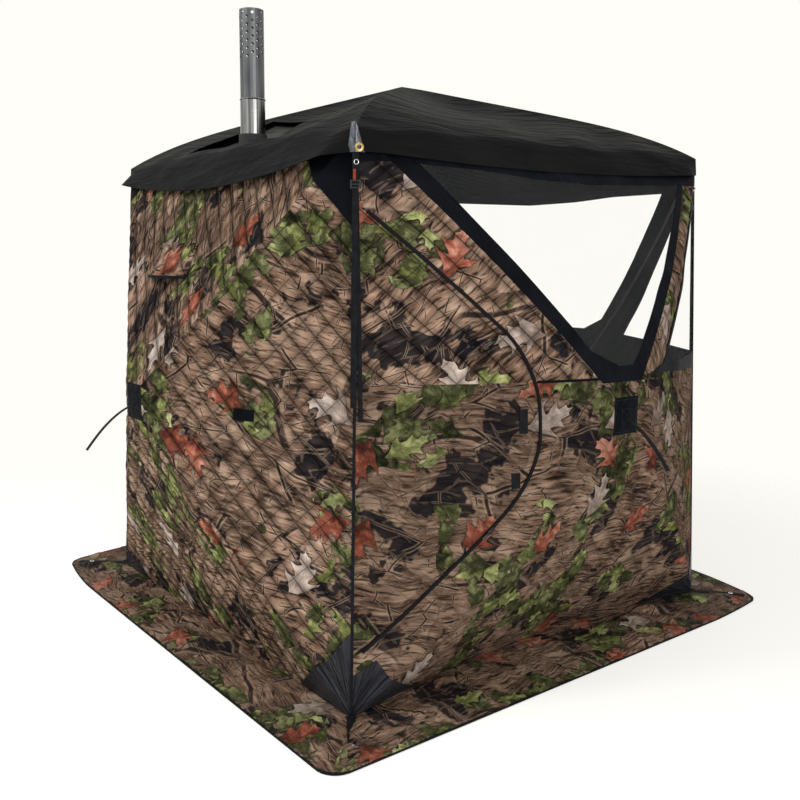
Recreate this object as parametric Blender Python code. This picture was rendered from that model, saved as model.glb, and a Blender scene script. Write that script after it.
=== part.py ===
"""A pop-up sauna tent: quilted walls on sprung hub-and-pole frames, rain fly, door, windows,
and the wood stove whose flue goes out through the roof.

Metres, +Z up. The origin is on the ground under the middle of the tent, and the door wall
faces -Y. Each wall is one shallow outward pyramid, and the four walls are quarter turns of it.
"""

from math import acos, atan2, cos, pi, radians, sin, sqrt, tan

import bmesh
import bpy
from mathutils import Matrix, Vector

# Tent body
BASE_HALF = 0.900
EAVE_HALF = 0.836
EAVE_HEIGHT = 1.785
HUB_HEIGHT = 0.911
HUB_BULGE = 0.300
ROOF_HUB_HEIGHT = 2.1005
WALL_BOW = 0.045
ROOF_BOW = 0.016
ROOF_SAG = 0.046
DOOR_SILL_DRAW = 0.095
QUILT_THICKNESS = 0.008
FILM_THICKNESS = 0.0015
FIT_GAP = 0.0003
CUT_OVERRUN = 0.020
WELD_DISTANCE = 0.00001

# Poles, hubs and corner brackets
POLE_DIAMETER = 0.011
HUB_THICKNESS = 0.020
HUB_CORE = 0.011
HUB_GRIP = 0.014
HUB_RIM = 0.005
POLE_END_SPARE = 0.004
BRACKET_REACH = 0.045
BRACKET_SET = 0.012
BRACKET_CHEEK = 0.003
BRACKET_BALL = 0.012
BRACKET_INSET = 0.034
BRACKET_ARM_HALF = 0.007
BRACKET_ROOT_GAP = 0.012
BRACKET_LIP = 0.004
FOOT_PLATE = 0.050
FOOT_PLATE_THICKNESS = 0.004

# Door, in the left facet of the front wall
DOOR_TOP_HEIGHT = 1.552
DOOR_BOTTOM_HEIGHT = 0.214
DOOR_TIP_FROM_MIDDLE = 0.163
DOOR_TIP_HEIGHT = 0.921
DOOR_NOSE_RADIUS = 0.408
DOOR_HINGE_INSET = 0.025
ZIP_GAP = 0.0006
ZIP_END_GAP = 0.014
SLIDER_LENGTH = 0.022
SLIDER_WIDTH = 0.014
SLIDER_HEIGHT = 0.008
SLIDER_CLEARANCE = 0.0006
SLIDER_TAB_LENGTH = 0.038
SLIDER_TAB_WIDTH = 0.009
SLIDER_TAB_THICKNESS = 0.003
SLIDER_START = 0.060
SLIDER_TRAVEL = 0.500
ZIP_TAPE_WIDTH = 0.014
ZIP_TAPE_THICKNESS = 0.002

# Windows
WINDOW_HEAD = 0.030
WINDOW_SILL_HEIGHT = 1.070
WINDOW_TOP_INSET = 0.166
WINDOW_BOTTOM_HALF = 0.065
SIDE_WINDOW_TOP_INSET = 0.136
SIDE_WINDOW_TOP_HEIGHT = 1.620
SIDE_WINDOW_INNER_BOTTOM = 0.320
SIDE_WINDOW_SILL_HEIGHT = 1.070
SIDE_WINDOW_EDGE_INSET = 0.040

# Vent on the left wall
VENT_FROM_MIDDLE = 0.120
VENT_HEIGHT = 1.385
VENT_HOLE_WIDTH = 0.200
VENT_HOLE_HEIGHT = 0.085
HOOD_WIDTH = 0.340
HOOD_RISE = 0.060
HOOD_DROP = 0.125
HOOD_OUT = 0.075
HOOD_THICKNESS = 0.003
HOOD_STAND_OFF = 0.001

# Rain fly
FLY_THICKNESS = 0.0025
FLY_LIFT = 0.0008
FLY_FALL_SHARE = 0.300
FLY_SHOULDER_HALF = 0.800
FLY_SHOULDER_DROP = 0.050
FLY_SHOULDER_POWER = 5.6
FLY_SAG = 0.040
FLY_EDGE_HALF = 0.858
FLY_HEM_HALF = 0.862
FLY_HEM_BULGE = 0.036
FLY_HEM_HEIGHT = 1.725
FLY_HEM_DIP = 0.028
FLY_CUT_LOW = -0.800
FLY_CUT_HIGH = -0.425
FLY_CUT_NEAR = -0.330
FLY_CUT_FAR = 0.370
FLY_CUT_SLANT = 0.120

# Ground skirt
SKIRT_WIDTH = 0.245
SKIRT_THICKNESS = 0.004
SKIRT_CORNER_RADIUS = 0.070
SKIRT_CLEARANCE = 0.0036
SKIRT_CREASE = 0.006

# Flue
FLUE_X = -0.620
FLUE_Y = 0.160
FLUE_DIAMETER = 0.096
FLUE_WALL = 0.0012
FLUE_UPPER_SHOWN = 0.325
FLUE_LAP = 0.070
FLUE_TOP_HEIGHT = 2.345
FLUE_BEAD = 0.0025
FLUE_BEAD_HEIGHT = 0.007
ARRESTOR_HOLE = 0.0115
ARRESTOR_ROW_PITCH = 0.0285
ARRESTOR_DROP = 0.173
ARRESTOR_ROWS = 6
ARRESTOR_COLUMNS = 14
DAMPER_HEIGHT = 0.780
DAMPER_MARGIN = 0.004
DAMPER_THICKNESS = 0.002
DAMPER_SPINDLE = 0.003
DAMPER_STUB = 0.010
DAMPER_HANDLE = 0.045
DAMPER_KNOB = 0.007

# Stove jack in the roof
JACK_HALF = 0.150
JACK_THICKNESS = 0.006
JACK_COLLAR_WALL = 0.006
JACK_COLLAR_HEIGHT = 0.070

# Stove
STOVE_WIDTH = 0.300
STOVE_DEPTH = 0.460
STOVE_HEIGHT = 0.300
STOVE_LEG_HEIGHT = 0.180
STOVE_LEG_SIDE = 0.025
STOVE_LEG_INSET = 0.012
STOVE_WALL = 0.004
STOVE_FLUE_SETBACK = 0.085
STOVE_SPIGOT_HEIGHT = 0.045
STOVE_DOOR_WIDTH = 0.220
STOVE_DOOR_HEIGHT = 0.150
STOVE_DOOR_THICKNESS = 0.006
STOVE_DOOR_DROP = 0.040
STOVE_MOUTH_MARGIN = 0.015
STOVE_HINGE_RADIUS = 0.006
STOVE_HINGE_LENGTH = 0.030
LATCH_ARM = 0.060
LATCH_WIDTH = 0.014
LATCH_THICKNESS = 0.005
LATCH_INSET = 0.030
LATCH_STAND = 0.004
LATCH_KNOB = 0.010
LATCH_KNOB_LENGTH = 0.030
AIR_SLOT_WIDTH = 0.080
AIR_SLOT_HEIGHT = 0.016
AIR_SLIDE_WIDTH = 0.100
AIR_SLIDE_HEIGHT = 0.034
AIR_SLIDE_THICKNESS = 0.003
AIR_SLIDE_DROP = 0.245
AIR_RAIL = 0.004
AIR_RAIL_LENGTH = 0.200
AIR_TAB = 0.014
TRAY_MARGIN = 0.020
TRAY_HEIGHT = 0.070
TRAY_WALL = 0.003
STONE_SIZE = 0.066
STONE_BURY = 0.012
STONE_ROWS = 4
STONE_COLUMNS = 4
STONE_OVERLAP = 0.004

# Webbing
WEBBING_THICKNESS = 0.002
PULL_STRAP_WIDTH = 0.020
PULL_STRAP_LENGTH = 0.230
PULL_STRAP_ANGLES = (20, 28, 36, 42, 47, 50, 52)
CORNER_STRAP_WIDTH = 0.020
CORNER_STRAP_BOTTOM = 1.015
CORNER_STRAP_DROP = 0.0009
CORNER_STRAP_STAND_OFF = 0.013
BUCKLE_WIDTH = 0.028
BUCKLE_LENGTH = 0.052
BUCKLE_THICKNESS = 0.009
BUCKLE_HEIGHT = 1.580

# Grid steps, in counts and shares
PANEL_RINGS = 7
PANEL_SIDE_STEPS = 6
FLY_RING_SHARES = (0.16, 0.30, 0.44, 0.58, 0.72, 0.86, 1.0)
FLY_STATION_SHARES = (0, 0.05, 0.20, 0.35, 0.50, 0.65, 0.80, 0.95)
FLY_FLAP_SHARES = (0.5, 1.0)
SKIRT_CREASE_TURN = 2.1
MITRE_REACH = 5
ROUND_START_STEP = radians(36)
SHARP_ANGLE = radians(35)
STONE_ROW_TURN = 5.0
STONE_COLUMN_TURN = 3.0
STONE_DEPTH_SHARE = 0.85
STONE_HEIGHT_SHARE = 0.80
FLY_CUT_FAR_SHARE = 1 / 3
HOOD_ROWS = 3
HOOD_COLUMNS = 8
POLE_STEPS = 7
POLE_SIDES = 8
ROUND_SIDES = 24
FLUE_SIDES = 28
DAMPER_SIDES = 10
NOSE_STEPS = 9
PULL_STRAP_STEPS = 7
SOLVER_STEPS = 40

OUT = Vector((0, -1, 0))
UP = Vector((0, 0, 1))
ACROSS = Vector((1, 0, 0))
QUARTER = radians(90)
WALL_TURNS = {"front": 0, "right": 1, "back": 2, "left": 3}
POLE_RADIUS = POLE_DIAMETER / 2
POLE_SINK = QUILT_THICKNESS + FIT_GAP + POLE_RADIUS
FLUE_RADIUS = FLUE_DIAMETER / 2
FLUE_JOINT_HEIGHT = FLUE_TOP_HEIGHT - FLUE_UPPER_SHOWN

for old in list(bpy.data.objects):
    bpy.data.objects.remove(old, do_unlink=True)


def material(name, colour, roughness, metallic=0.0):
    """A plain Principled finish."""
    made = bpy.data.materials.new(name)
    made.use_nodes = True
    shader = made.node_tree.nodes["Principled BSDF"]
    shader.inputs["Base Color"].default_value = (*colour, 1.0)
    shader.inputs["Roughness"].default_value = roughness
    shader.inputs["Metallic"].default_value = metallic
    return made


QUILT = material("quilted_polyester", (0.16, 0.11, 0.07), 0.75)
FLY_CLOTH = material("coated_nylon", (0.012, 0.012, 0.013), 0.45)
WEBBING = material("black_webbing", (0.015, 0.015, 0.018), 0.8)
FILM = material("clear_film", (0.75, 0.78, 0.78), 0.08)
FIBREGLASS = material("fibreglass", (0.03, 0.03, 0.03), 0.35)
NYLON = material("moulded_nylon", (0.02, 0.02, 0.022), 0.5)
STEEL = material("stainless_steel", (0.55, 0.54, 0.52), 0.3, 1.0)
STOVE_STEEL = material("stove_steel", (0.05, 0.05, 0.05), 0.55, 1.0)
HEAT_CLOTH = material("heat_cloth", (0.10, 0.10, 0.10), 0.8)
STONE = material("sauna_stone", (0.12, 0.12, 0.12), 0.85)


def mesh_from(name, points, faces):
    """A mesh whose faces are turned to point outwards."""
    mesh = bpy.data.meshes.new(name)
    mesh.from_pydata([tuple(map(float, p)) for p in points], [], [tuple(map(int, f)) for f in faces])
    work = bmesh.new()
    work.from_mesh(mesh)
    bmesh.ops.recalc_face_normals(work, faces=work.faces)
    work.to_mesh(mesh)
    work.free()
    return mesh


def add(name, mesh, finish, matrix=None, smooth=False):
    """A named object at a place; smooth shades round surfaces and keeps sharp edges."""
    made = bpy.data.objects.new(name, mesh)
    bpy.context.scene.collection.objects.link(made)
    if not mesh.materials:
        mesh.materials.append(finish)
    if smooth:
        mesh.shade_smooth()
        mesh.set_sharp_from_angle(angle=SHARP_ANGLE)
    if matrix is not None:
        made.matrix_world = matrix
    return made


def combined(base, others, operation):
    """The mesh of base joined with, or cut by, the other meshes, as an exact Boolean."""
    holder = bpy.data.objects.new("working_solid", base)
    bpy.context.scene.collection.objects.link(holder)
    helpers = []
    for other in others:
        helper = bpy.data.objects.new("working_tool", other)
        bpy.context.scene.collection.objects.link(helper)
        helper.hide_render = True
        helper.display_type = "WIRE"
        step = holder.modifiers.new("step", "BOOLEAN")
        step.operation = operation
        step.object = helper
        helpers.append(helper)
    bpy.context.view_layer.update()
    graph = bpy.context.evaluated_depsgraph_get()
    result = bpy.data.meshes.new_from_object(holder.evaluated_get(graph))
    for helper in [holder, *helpers]:
        bpy.data.objects.remove(helper, do_unlink=True)
    work = bmesh.new()
    work.from_mesh(result)
    bmesh.ops.remove_doubles(work, verts=work.verts, dist=WELD_DISTANCE)
    bmesh.ops.dissolve_degenerate(work, edges=work.edges, dist=WELD_DISTANCE)
    work.to_mesh(result)
    work.free()
    return result


def box(low, high, matrix=None):
    """A box between two corners."""
    work = bmesh.new()
    size = Vector(high) - Vector(low)
    middle = (Vector(high) + Vector(low)) / 2
    place = Matrix.Translation(middle) @ Matrix.Diagonal((*size, 1))
    bmesh.ops.create_cube(work, size=1.0, matrix=place)
    if matrix is not None:
        bmesh.ops.transform(work, matrix=matrix, verts=work.verts)
    mesh = bpy.data.meshes.new("box")
    work.to_mesh(mesh)
    work.free()
    return mesh


def prism(outline, low, high, matrix=None):
    """A flat outline in X and Y carried from one height to another along Z."""
    count = len(outline)
    points = [(x, y, z) for z in (low, high) for x, y in outline]
    sides = [(i, (i + 1) % count, count + (i + 1) % count, count + i) for i in range(count)]
    faces = [tuple(range(count)), tuple(range(count, 2 * count)), *sides]
    mesh = mesh_from("prism", points, faces)
    if matrix is not None:
        mesh.transform(matrix)
    return mesh


def turned(profile, sides, matrix=None):
    """A closed profile of (radius, height) points turned about Z; radius 0 points close on the axis."""
    points = []
    rows = []
    for radius, height in profile:
        if radius == 0:
            rows.append([len(points)] * sides)
            points.append((0, 0, height))
            continue
        rows.append(list(range(len(points), len(points) + sides)))
        angles = [2 * pi * k / sides for k in range(sides)]
        points += [(radius * cos(a), radius * sin(a), height) for a in angles]
    faces = []
    loop = rows if profile[0][0] == 0 else rows + rows[:1]
    for below, above in zip(loop, loop[1:]):
        for k in range(sides):
            corner = [below[k], below[(k + 1) % sides], above[(k + 1) % sides], above[k]]
            face = list(dict.fromkeys(corner))
            if len(face) > 2:
                faces.append(face)
    mesh = mesh_from("turned", points, faces)
    if matrix is not None:
        mesh.transform(matrix)
    return mesh


def frame_at(point, along, upward):
    """A matrix whose X runs along one direction and whose Z is as near another as it can be."""
    x_axis = Vector(along).normalized()
    y_axis = Vector(upward).cross(x_axis).normalized()
    z_axis = x_axis.cross(y_axis)
    return Matrix.Translation(point) @ Matrix((x_axis, y_axis, z_axis)).transposed().to_4x4()


# Tent panels: four corners, a hub that stands out from them, and four curved ridges between
class Panel:
    """One hub panel: its corners in order, its hub, its outward direction and its ridge bow."""

    def __init__(self, corners, hub, out, bow, sag=0.0, draw=0.0, mitred_edges=(1, 2, 3)):
        self.corners = [Vector(c) for c in corners]
        self.hub = Vector(hub)
        self.out = Vector(out)
        self.bow = bow
        self.sag = sag
        self.draw = draw
        self.mitred_edges = mitred_edges
        self.slack = max(self.overshoot(c) for c in self.corners)
        self.pole_end_radius = HUB_CORE + POLE_END_SPARE + self.slack
        self.hub_radius = self.pole_end_radius + HUB_GRIP
        self.patch_radius = self.hub_radius + HUB_RIM

    def overshoot(self, corner):
        """How much longer a straight pole is than its reach when the hub lies level with the corner."""
        span = corner - self.hub
        depth = span.dot(self.out)
        return span.length - sqrt(span.length_squared - depth * depth)

    def spoke(self, index):
        """The direction from the hub to a corner, in the hub's own plane."""
        span = self.corners[index % 4] - self.hub
        return (span - self.out * span.dot(self.out)).normalized()

    def patch_corner(self, index):
        return self.hub + self.spoke(index) * self.patch_radius

    def ridge(self, index, share):
        """A point on the outer ridge, from its corner at 0 to the flat hub patch at 1."""
        corner = self.corners[index % 4]
        rise = self.out * (4 * self.bow * share * (1 - share))
        return corner.lerp(self.patch_corner(index), share) + rise

    def surface(self, facet, share, across):
        """A point of the outer surface: straight between two ridges, drawn in or sagging as told."""
        point = self.ridge(facet, share).lerp(self.ridge(facet + 1, share), across)
        belly = 4 * across * (1 - across)
        point -= self.out * (self.sag * belly * 4 * share * (1 - share))
        if facet == 0:
            point -= self.out * (self.draw * belly * (1 - share) ** 2)
        return point

    def foot(self, across):
        """A point of the bottom edge, straight between the grid's own points."""
        step = min(int(across * PANEL_SIDE_STEPS), PANEL_SIDE_STEPS - 1)
        start = self.surface(0, 0, step / PANEL_SIDE_STEPS)
        end = self.surface(0, 0, (step + 1) / PANEL_SIDE_STEPS)
        return start.lerp(end, across * PANEL_SIDE_STEPS - step)

    def inward(self, edge):
        """The in-plane direction from an edge's middle to the panel's inside."""
        start, end = self.corners[edge], self.corners[(edge + 1) % 4]
        return self.out.cross(end - start).normalized()

    def sheet(self, thickness, lift=0.0):
        """The panel as a closed sheet: rings round the hub, outer and inner, mitred at its edges."""
        outer, inner = [], []
        mitre = 0 if lift else thickness
        for ring in range(PANEL_RINGS + 1):
            for facet in range(4):
                for step in range(PANEL_SIDE_STEPS):
                    point = self.surface(facet, ring / PANEL_RINGS, step / PANEL_SIDE_STEPS)
                    shift = Vector((0, 0, 0))
                    if ring == 0:
                        edges = {facet, (facet - 1) % 4} if step == 0 else {facet}
                        for edge in edges & set(self.mitred_edges):
                            shift += self.inward(edge)
                        if not edges <= set(self.mitred_edges):
                            shift.z = 0
                    outer.append(point + shift * FIT_GAP + self.out * lift)
                    inner.append(outer[-1] + shift * mitre - self.out * thickness)
        count = 4 * PANEL_SIDE_STEPS
        total = count * (PANEL_RINGS + 1)
        middles = [self.hub + self.out * lift, self.hub + self.out * (lift - thickness)]
        points = outer + inner + middles
        faces = []
        for layer in (0, total):
            for ring in range(PANEL_RINGS):
                for k in range(count):
                    low = layer + ring * count
                    high = low + count
                    following = (k + 1) % count
                    faces.append((low + k, low + following, high + following))
                    faces.append((low + k, high + following, high + k))
            crown = layer + PANEL_RINGS * count
            centre = 2 * total + (layer > 0)
            faces += [(crown + k, crown + (k + 1) % count, centre) for k in range(count)]
        faces += [(k, (k + 1) % count, total + (k + 1) % count, total + k) for k in range(count)]
        return mesh_from("sheet", points, faces)


def wall_panel(draw=0.0):
    low, high = BASE_HALF, EAVE_HALF
    corners = [(-low, -low, 0), (low, -low, 0), (high, -high, EAVE_HEIGHT), (-high, -high, EAVE_HEIGHT)]
    hub = (0, -BASE_HALF - HUB_BULGE, HUB_HEIGHT)
    return Panel(corners, hub, OUT, WALL_BOW, draw=draw)


EAVE = [(-1, -1), (1, -1), (1, 1), (-1, 1)]
WALL = wall_panel()
FRONT = wall_panel(draw=DOOR_SILL_DRAW)
ROOF = Panel(
    [(x * EAVE_HALF, y * EAVE_HALF, EAVE_HEIGHT) for x, y in EAVE],
    (0, 0, ROOF_HUB_HEIGHT),
    UP,
    ROOF_BOW,
    sag=ROOF_SAG,
    mitred_edges=(0, 1, 2, 3),
)


def wall_prism(outline):
    """A cutter through a wall: an outline in X and Z carried through it along Y."""
    deep = BASE_HALF + HUB_BULGE + CUT_OVERRUN
    shallow = EAVE_HALF - QUILT_THICKNESS - CUT_OVERRUN - DOOR_SILL_DRAW
    # The prism's own Z becomes -Y, and its Y becomes Z.
    upright = Matrix.Rotation(QUARTER, 4, "X")
    return prism(outline, shallow, deep, upright)


def inset_outline(outline, gap):
    """The outline drawn in by a gap on every side; its points run anticlockwise."""
    points = [Vector(p) for p in outline]
    count = len(points)
    moved = []
    for k in range(count):
        before = (points[k] - points[k - 1]).normalized()
        after = (points[(k + 1) % count] - points[k]).normalized()
        normal = Vector((-before.y - after.y, before.x + after.x)).normalized()
        half_turn = acos(max(-1.0, min(1.0, before.dot(after)))) / 2
        moved.append(points[k] + normal * gap / cos(half_turn))
    return [tuple(p) for p in moved]


# Door outline: a hinge line beside the corner, two straight runs and a round nose
HINGE_SHARE = DOOR_HINGE_INSET / BASE_HALF
HINGE_FOOT = FRONT.ridge(0, HINGE_SHARE)
HINGE_HEAD = FRONT.ridge(3, HINGE_SHARE)


def on_hinge(height):
    """The point of the hinge line at a height."""
    share = (height - HINGE_FOOT.z) / (HINGE_HEAD.z - HINGE_FOOT.z)
    return HINGE_FOOT.lerp(HINGE_HEAD, share)


DOOR_TOP = on_hinge(DOOR_TOP_HEIGHT)
DOOR_BOTTOM = on_hinge(DOOR_BOTTOM_HEIGHT)


def door_outline():
    """Anticlockwise in X and Z: bottom of the hinge line, round the nose, top of the hinge line."""
    foot = Vector((DOOR_BOTTOM.x, DOOR_BOTTOM.z))
    head = Vector((DOOR_TOP.x, DOOR_TOP.z))
    tip = Vector((-DOOR_TIP_FROM_MIDDLE, DOOR_TIP_HEIGHT))
    lower = (foot - tip).normalized()
    upper = (head - tip).normalized()
    half_angle = acos(lower.dot(upper)) / 2
    centre = tip + (lower + upper).normalized() * (DOOR_NOSE_RADIUS / sin(half_angle))
    sweep = pi - 2 * half_angle
    first = tip + lower * (DOOR_NOSE_RADIUS / tan(half_angle))
    start = atan2(first.y - centre.y, first.x - centre.x)
    angles = [start + sweep * k / NOSE_STEPS for k in range(NOSE_STEPS + 1)]
    nose = [centre + Vector((cos(a), sin(a))) * DOOR_NOSE_RADIUS for a in angles]
    return [tuple(foot), *[tuple(p) for p in nose], tuple(head)]


def top_window_outline():
    """The large window between a wall's two upper ridges."""
    head = EAVE_HEIGHT - WINDOW_HEAD
    sill = WINDOW_SILL_HEIGHT
    return [
        (-WINDOW_BOTTOM_HALF, sill),
        (WINDOW_BOTTOM_HALF, sill),
        (EAVE_HALF - WINDOW_TOP_INSET, head),
        (WINDOW_TOP_INSET - EAVE_HALF, head),
    ]


def side_window_outline(side):
    """The window beside the corner edge; side is 1 for the right facet and -1 for the left."""

    def edge_at(height):
        share = height / EAVE_HEIGHT
        return BASE_HALF + (EAVE_HALF - BASE_HALF) * share - SIDE_WINDOW_EDGE_INSET

    right = [
        (SIDE_WINDOW_INNER_BOTTOM, SIDE_WINDOW_SILL_HEIGHT),
        (edge_at(SIDE_WINDOW_SILL_HEIGHT), SIDE_WINDOW_SILL_HEIGHT),
        (edge_at(SIDE_WINDOW_TOP_HEIGHT), SIDE_WINDOW_TOP_HEIGHT),
        (EAVE_HALF - SIDE_WINDOW_TOP_INSET, SIDE_WINDOW_TOP_HEIGHT),
    ]
    return right if side > 0 else [(-x, z) for x, z in reversed(right)]


def vent_outline():
    """The vent hole in the left wall's own frame, where the wall's X runs along -Y of the tent."""
    half = VENT_HOLE_WIDTH / 2
    low = VENT_HEIGHT - VENT_HOLE_HEIGHT / 2
    high = VENT_HEIGHT + VENT_HOLE_HEIGHT / 2
    middle = -VENT_FROM_MIDDLE
    return [(middle - half, low), (middle + half, low), (middle + half, high), (middle - half, high)]


def turn(quarters):
    return Matrix.Rotation(QUARTER * quarters, 4, "Z")


def panel_piece(panel, thickness, outline, gap):
    """What lies in a cut-out of the panel: the same curved sheet within the drawn-in outline."""
    return combined(panel.sheet(thickness), [wall_prism(inset_outline(outline, gap))], "INTERSECT")


def make_walls():
    openings = {
        "front": [door_outline(), top_window_outline(), side_window_outline(1)],
        "right": [top_window_outline(), side_window_outline(-1)],
        "back": [],
        "left": [vent_outline()],
    }
    for name, quarters in WALL_TURNS.items():
        panel = FRONT if name == "front" else WALL
        mesh = panel.sheet(QUILT_THICKNESS)
        if openings[name]:
            mesh = combined(mesh, [wall_prism(o) for o in openings[name]], "DIFFERENCE")
        add(f"{name}_wall", mesh, QUILT, turn(quarters))
    for wall, side in (("front", 1), ("right", -1)):
        quarters = WALL_TURNS[wall]
        panes = {"top": top_window_outline(), "side": side_window_outline(side)}
        for place, outline in panes.items():
            pane = panel_piece(FRONT, FILM_THICKNESS, outline, FIT_GAP)
            add(f"{wall}_{place}_window", pane, FILM, turn(quarters))


def make_door():
    """The door's origin is on its sewn hinge line, at the outer surface."""
    mesh = panel_piece(FRONT, QUILT_THICKNESS, door_outline(), ZIP_GAP)
    mesh.transform(Matrix.Translation(-DOOR_BOTTOM))
    add("door_panel", mesh, QUILT, Matrix.Translation(DOOR_BOTTOM))


def tube(path, radius, sides, round_start=False):
    """A closed tube along a list of points; round_start closes its first end as a half ball."""
    centres = [Vector(p) for p in path]
    radii = [radius] * len(centres)
    if round_start:
        back = (centres[0] - centres[1]).normalized()
        tips = [(cos(a), sin(a)) for a in (2 * ROUND_START_STEP, ROUND_START_STEP)]
        centres = [centres[0] + back * radius * s for _, s in tips] + centres
        radii = [radius * c for c, _ in tips] + radii
    points = []
    previous = None
    for k, centre in enumerate(centres):
        ahead = centres[min(k + 1, len(centres) - 1)] - centres[max(k - 1, 0)]
        ahead.normalize()
        if previous is None:
            side = ahead.orthogonal().normalized()
        else:
            side = (previous - ahead * previous.dot(ahead)).normalized()
        previous = side
        other = ahead.cross(side)
        for j in range(sides):
            angle = 2 * pi * j / sides
            points.append(centre + (side * cos(angle) + other * sin(angle)) * radii[k])
    faces = []
    for k in range(len(centres) - 1):
        for j in range(sides):
            following = (j + 1) % sides
            row, above = k * sides, (k + 1) * sides
            faces.append((row + j, row + following, above + following, above + j))
    faces.append(tuple(range(sides)))
    faces.append(tuple(range((len(centres) - 1) * sides, len(centres) * sides)))
    return mesh_from("tube", points, faces)


def pole_ends(panel, index):
    """The pole's pivot in its corner bracket and its free end in the hub's slot."""
    length = (panel.corners[index] - panel.hub).length
    at_corner = panel.ridge(index, BRACKET_REACH / length)
    pivot = at_corner - panel.out * (POLE_SINK + BRACKET_SET)
    free_end = panel.hub + panel.spoke(index) * panel.pole_end_radius - panel.out * POLE_SINK
    return pivot, free_end


def make_poles():
    """Each pole is a fibreglass rod bent to the ridge, with its origin in its bracket's clevis."""
    places = [("bottom", "left"), ("bottom", "right"), ("top", "right"), ("top", "left")]
    for index, (height, side) in enumerate(places):
        pivot, free_end = pole_ends(WALL, index)
        mesh = bent_rod(pivot, free_end, WALL)
        for wall, quarters in WALL_TURNS.items():
            place = turn(quarters) @ Matrix.Translation(pivot)
            add(f"{wall}_pole_{height}_{side}", mesh, FIBREGLASS, place, smooth=True)
    pivot, free_end = pole_ends(ROOF, 0)
    mesh = bent_rod(pivot, free_end, ROOF)
    for quarters, corner in enumerate(("front_left", "front_right", "back_right", "back_left")):
        place = turn(quarters) @ Matrix.Translation(pivot)
        add(f"roof_pole_{corner}", mesh, FIBREGLASS, place, smooth=True)


def bent_rod(pivot, free_end, panel):
    """A rod from its pivot, at the mesh's origin, to its free end, bowed outwards as the panel is."""
    path = []
    for k in range(POLE_STEPS + 1):
        share = k / POLE_STEPS
        bowed = panel.out * (4 * panel.bow * share * (1 - share))
        path.append((free_end - pivot) * share + bowed)
    return tube(path, POLE_RADIUS, POLE_SIDES, round_start=True)


def hub_mesh(panel):
    """A moulded cross: four lobes on a core, with a slot along each spoke for a pole's end."""
    middle = panel.hub - panel.out * (QUILT_THICKNESS + FIT_GAP)
    flat = frame_at(middle, panel.spoke(0), panel.out)
    inverse = flat.inverted().to_3x3()
    spokes = [inverse @ panel.spoke(k) for k in range(4)]
    rim = [(s.x * panel.hub_radius, s.y * panel.hub_radius) for s in spokes]
    body = prism(rim, -HUB_THICKNESS, 0, flat)
    slots = []
    slot_half = POLE_RADIUS + FIT_GAP
    for k in range(4):
        lane = frame_at(middle, panel.spoke(k), panel.out)
        low = (HUB_CORE, -slot_half, -HUB_THICKNESS - CUT_OVERRUN)
        high = (panel.hub_radius + CUT_OVERRUN, slot_half, CUT_OVERRUN)
        slots.append(box(low, high, lane))
    mesh = combined(body, slots, "DIFFERENCE")
    mesh.transform(Matrix.Translation(-panel.hub))
    return mesh


def make_hubs():
    mesh = hub_mesh(WALL)
    for wall, quarters in WALL_TURNS.items():
        add(f"{wall}_hub", mesh, NYLON, turn(quarters) @ Matrix.Translation(WALL.hub))
    add("roof_hub", hub_mesh(ROOF), NYLON, Matrix.Translation(ROOF.hub))


def clevis(centre, pivot, out, chord):
    """An arm from the bracket's centre with two cheeks, one on each side of the pole's end."""
    along = out
    lean = (chord - out * chord.dot(out)).normalized()
    across = along.cross(lean)
    reach = (pivot - centre).dot(along)
    place = Matrix.Translation(pivot) @ Matrix((lean, across, along)).transposed().to_4x4()
    slot_half = POLE_RADIUS + FIT_GAP
    half = slot_half + BRACKET_CHEEK
    arm = box((-BRACKET_ARM_HALF, -half, -reach), (BRACKET_ARM_HALF, half, BRACKET_LIP), place)
    slot_low = (-BRACKET_ARM_HALF - CUT_OVERRUN, -slot_half, -BRACKET_ROOT_GAP)
    slot_high = (BRACKET_ARM_HALF + CUT_OVERRUN, slot_half, BRACKET_LIP + CUT_OVERRUN)
    return arm, box(slot_low, slot_high, place)


def ball(centre, radius):
    work = bmesh.new()
    bmesh.ops.create_icosphere(work, subdivisions=2, radius=radius, matrix=Matrix.Translation(centre))
    mesh = bpy.data.meshes.new("ball")
    work.to_mesh(mesh)
    work.free()
    return mesh


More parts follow.
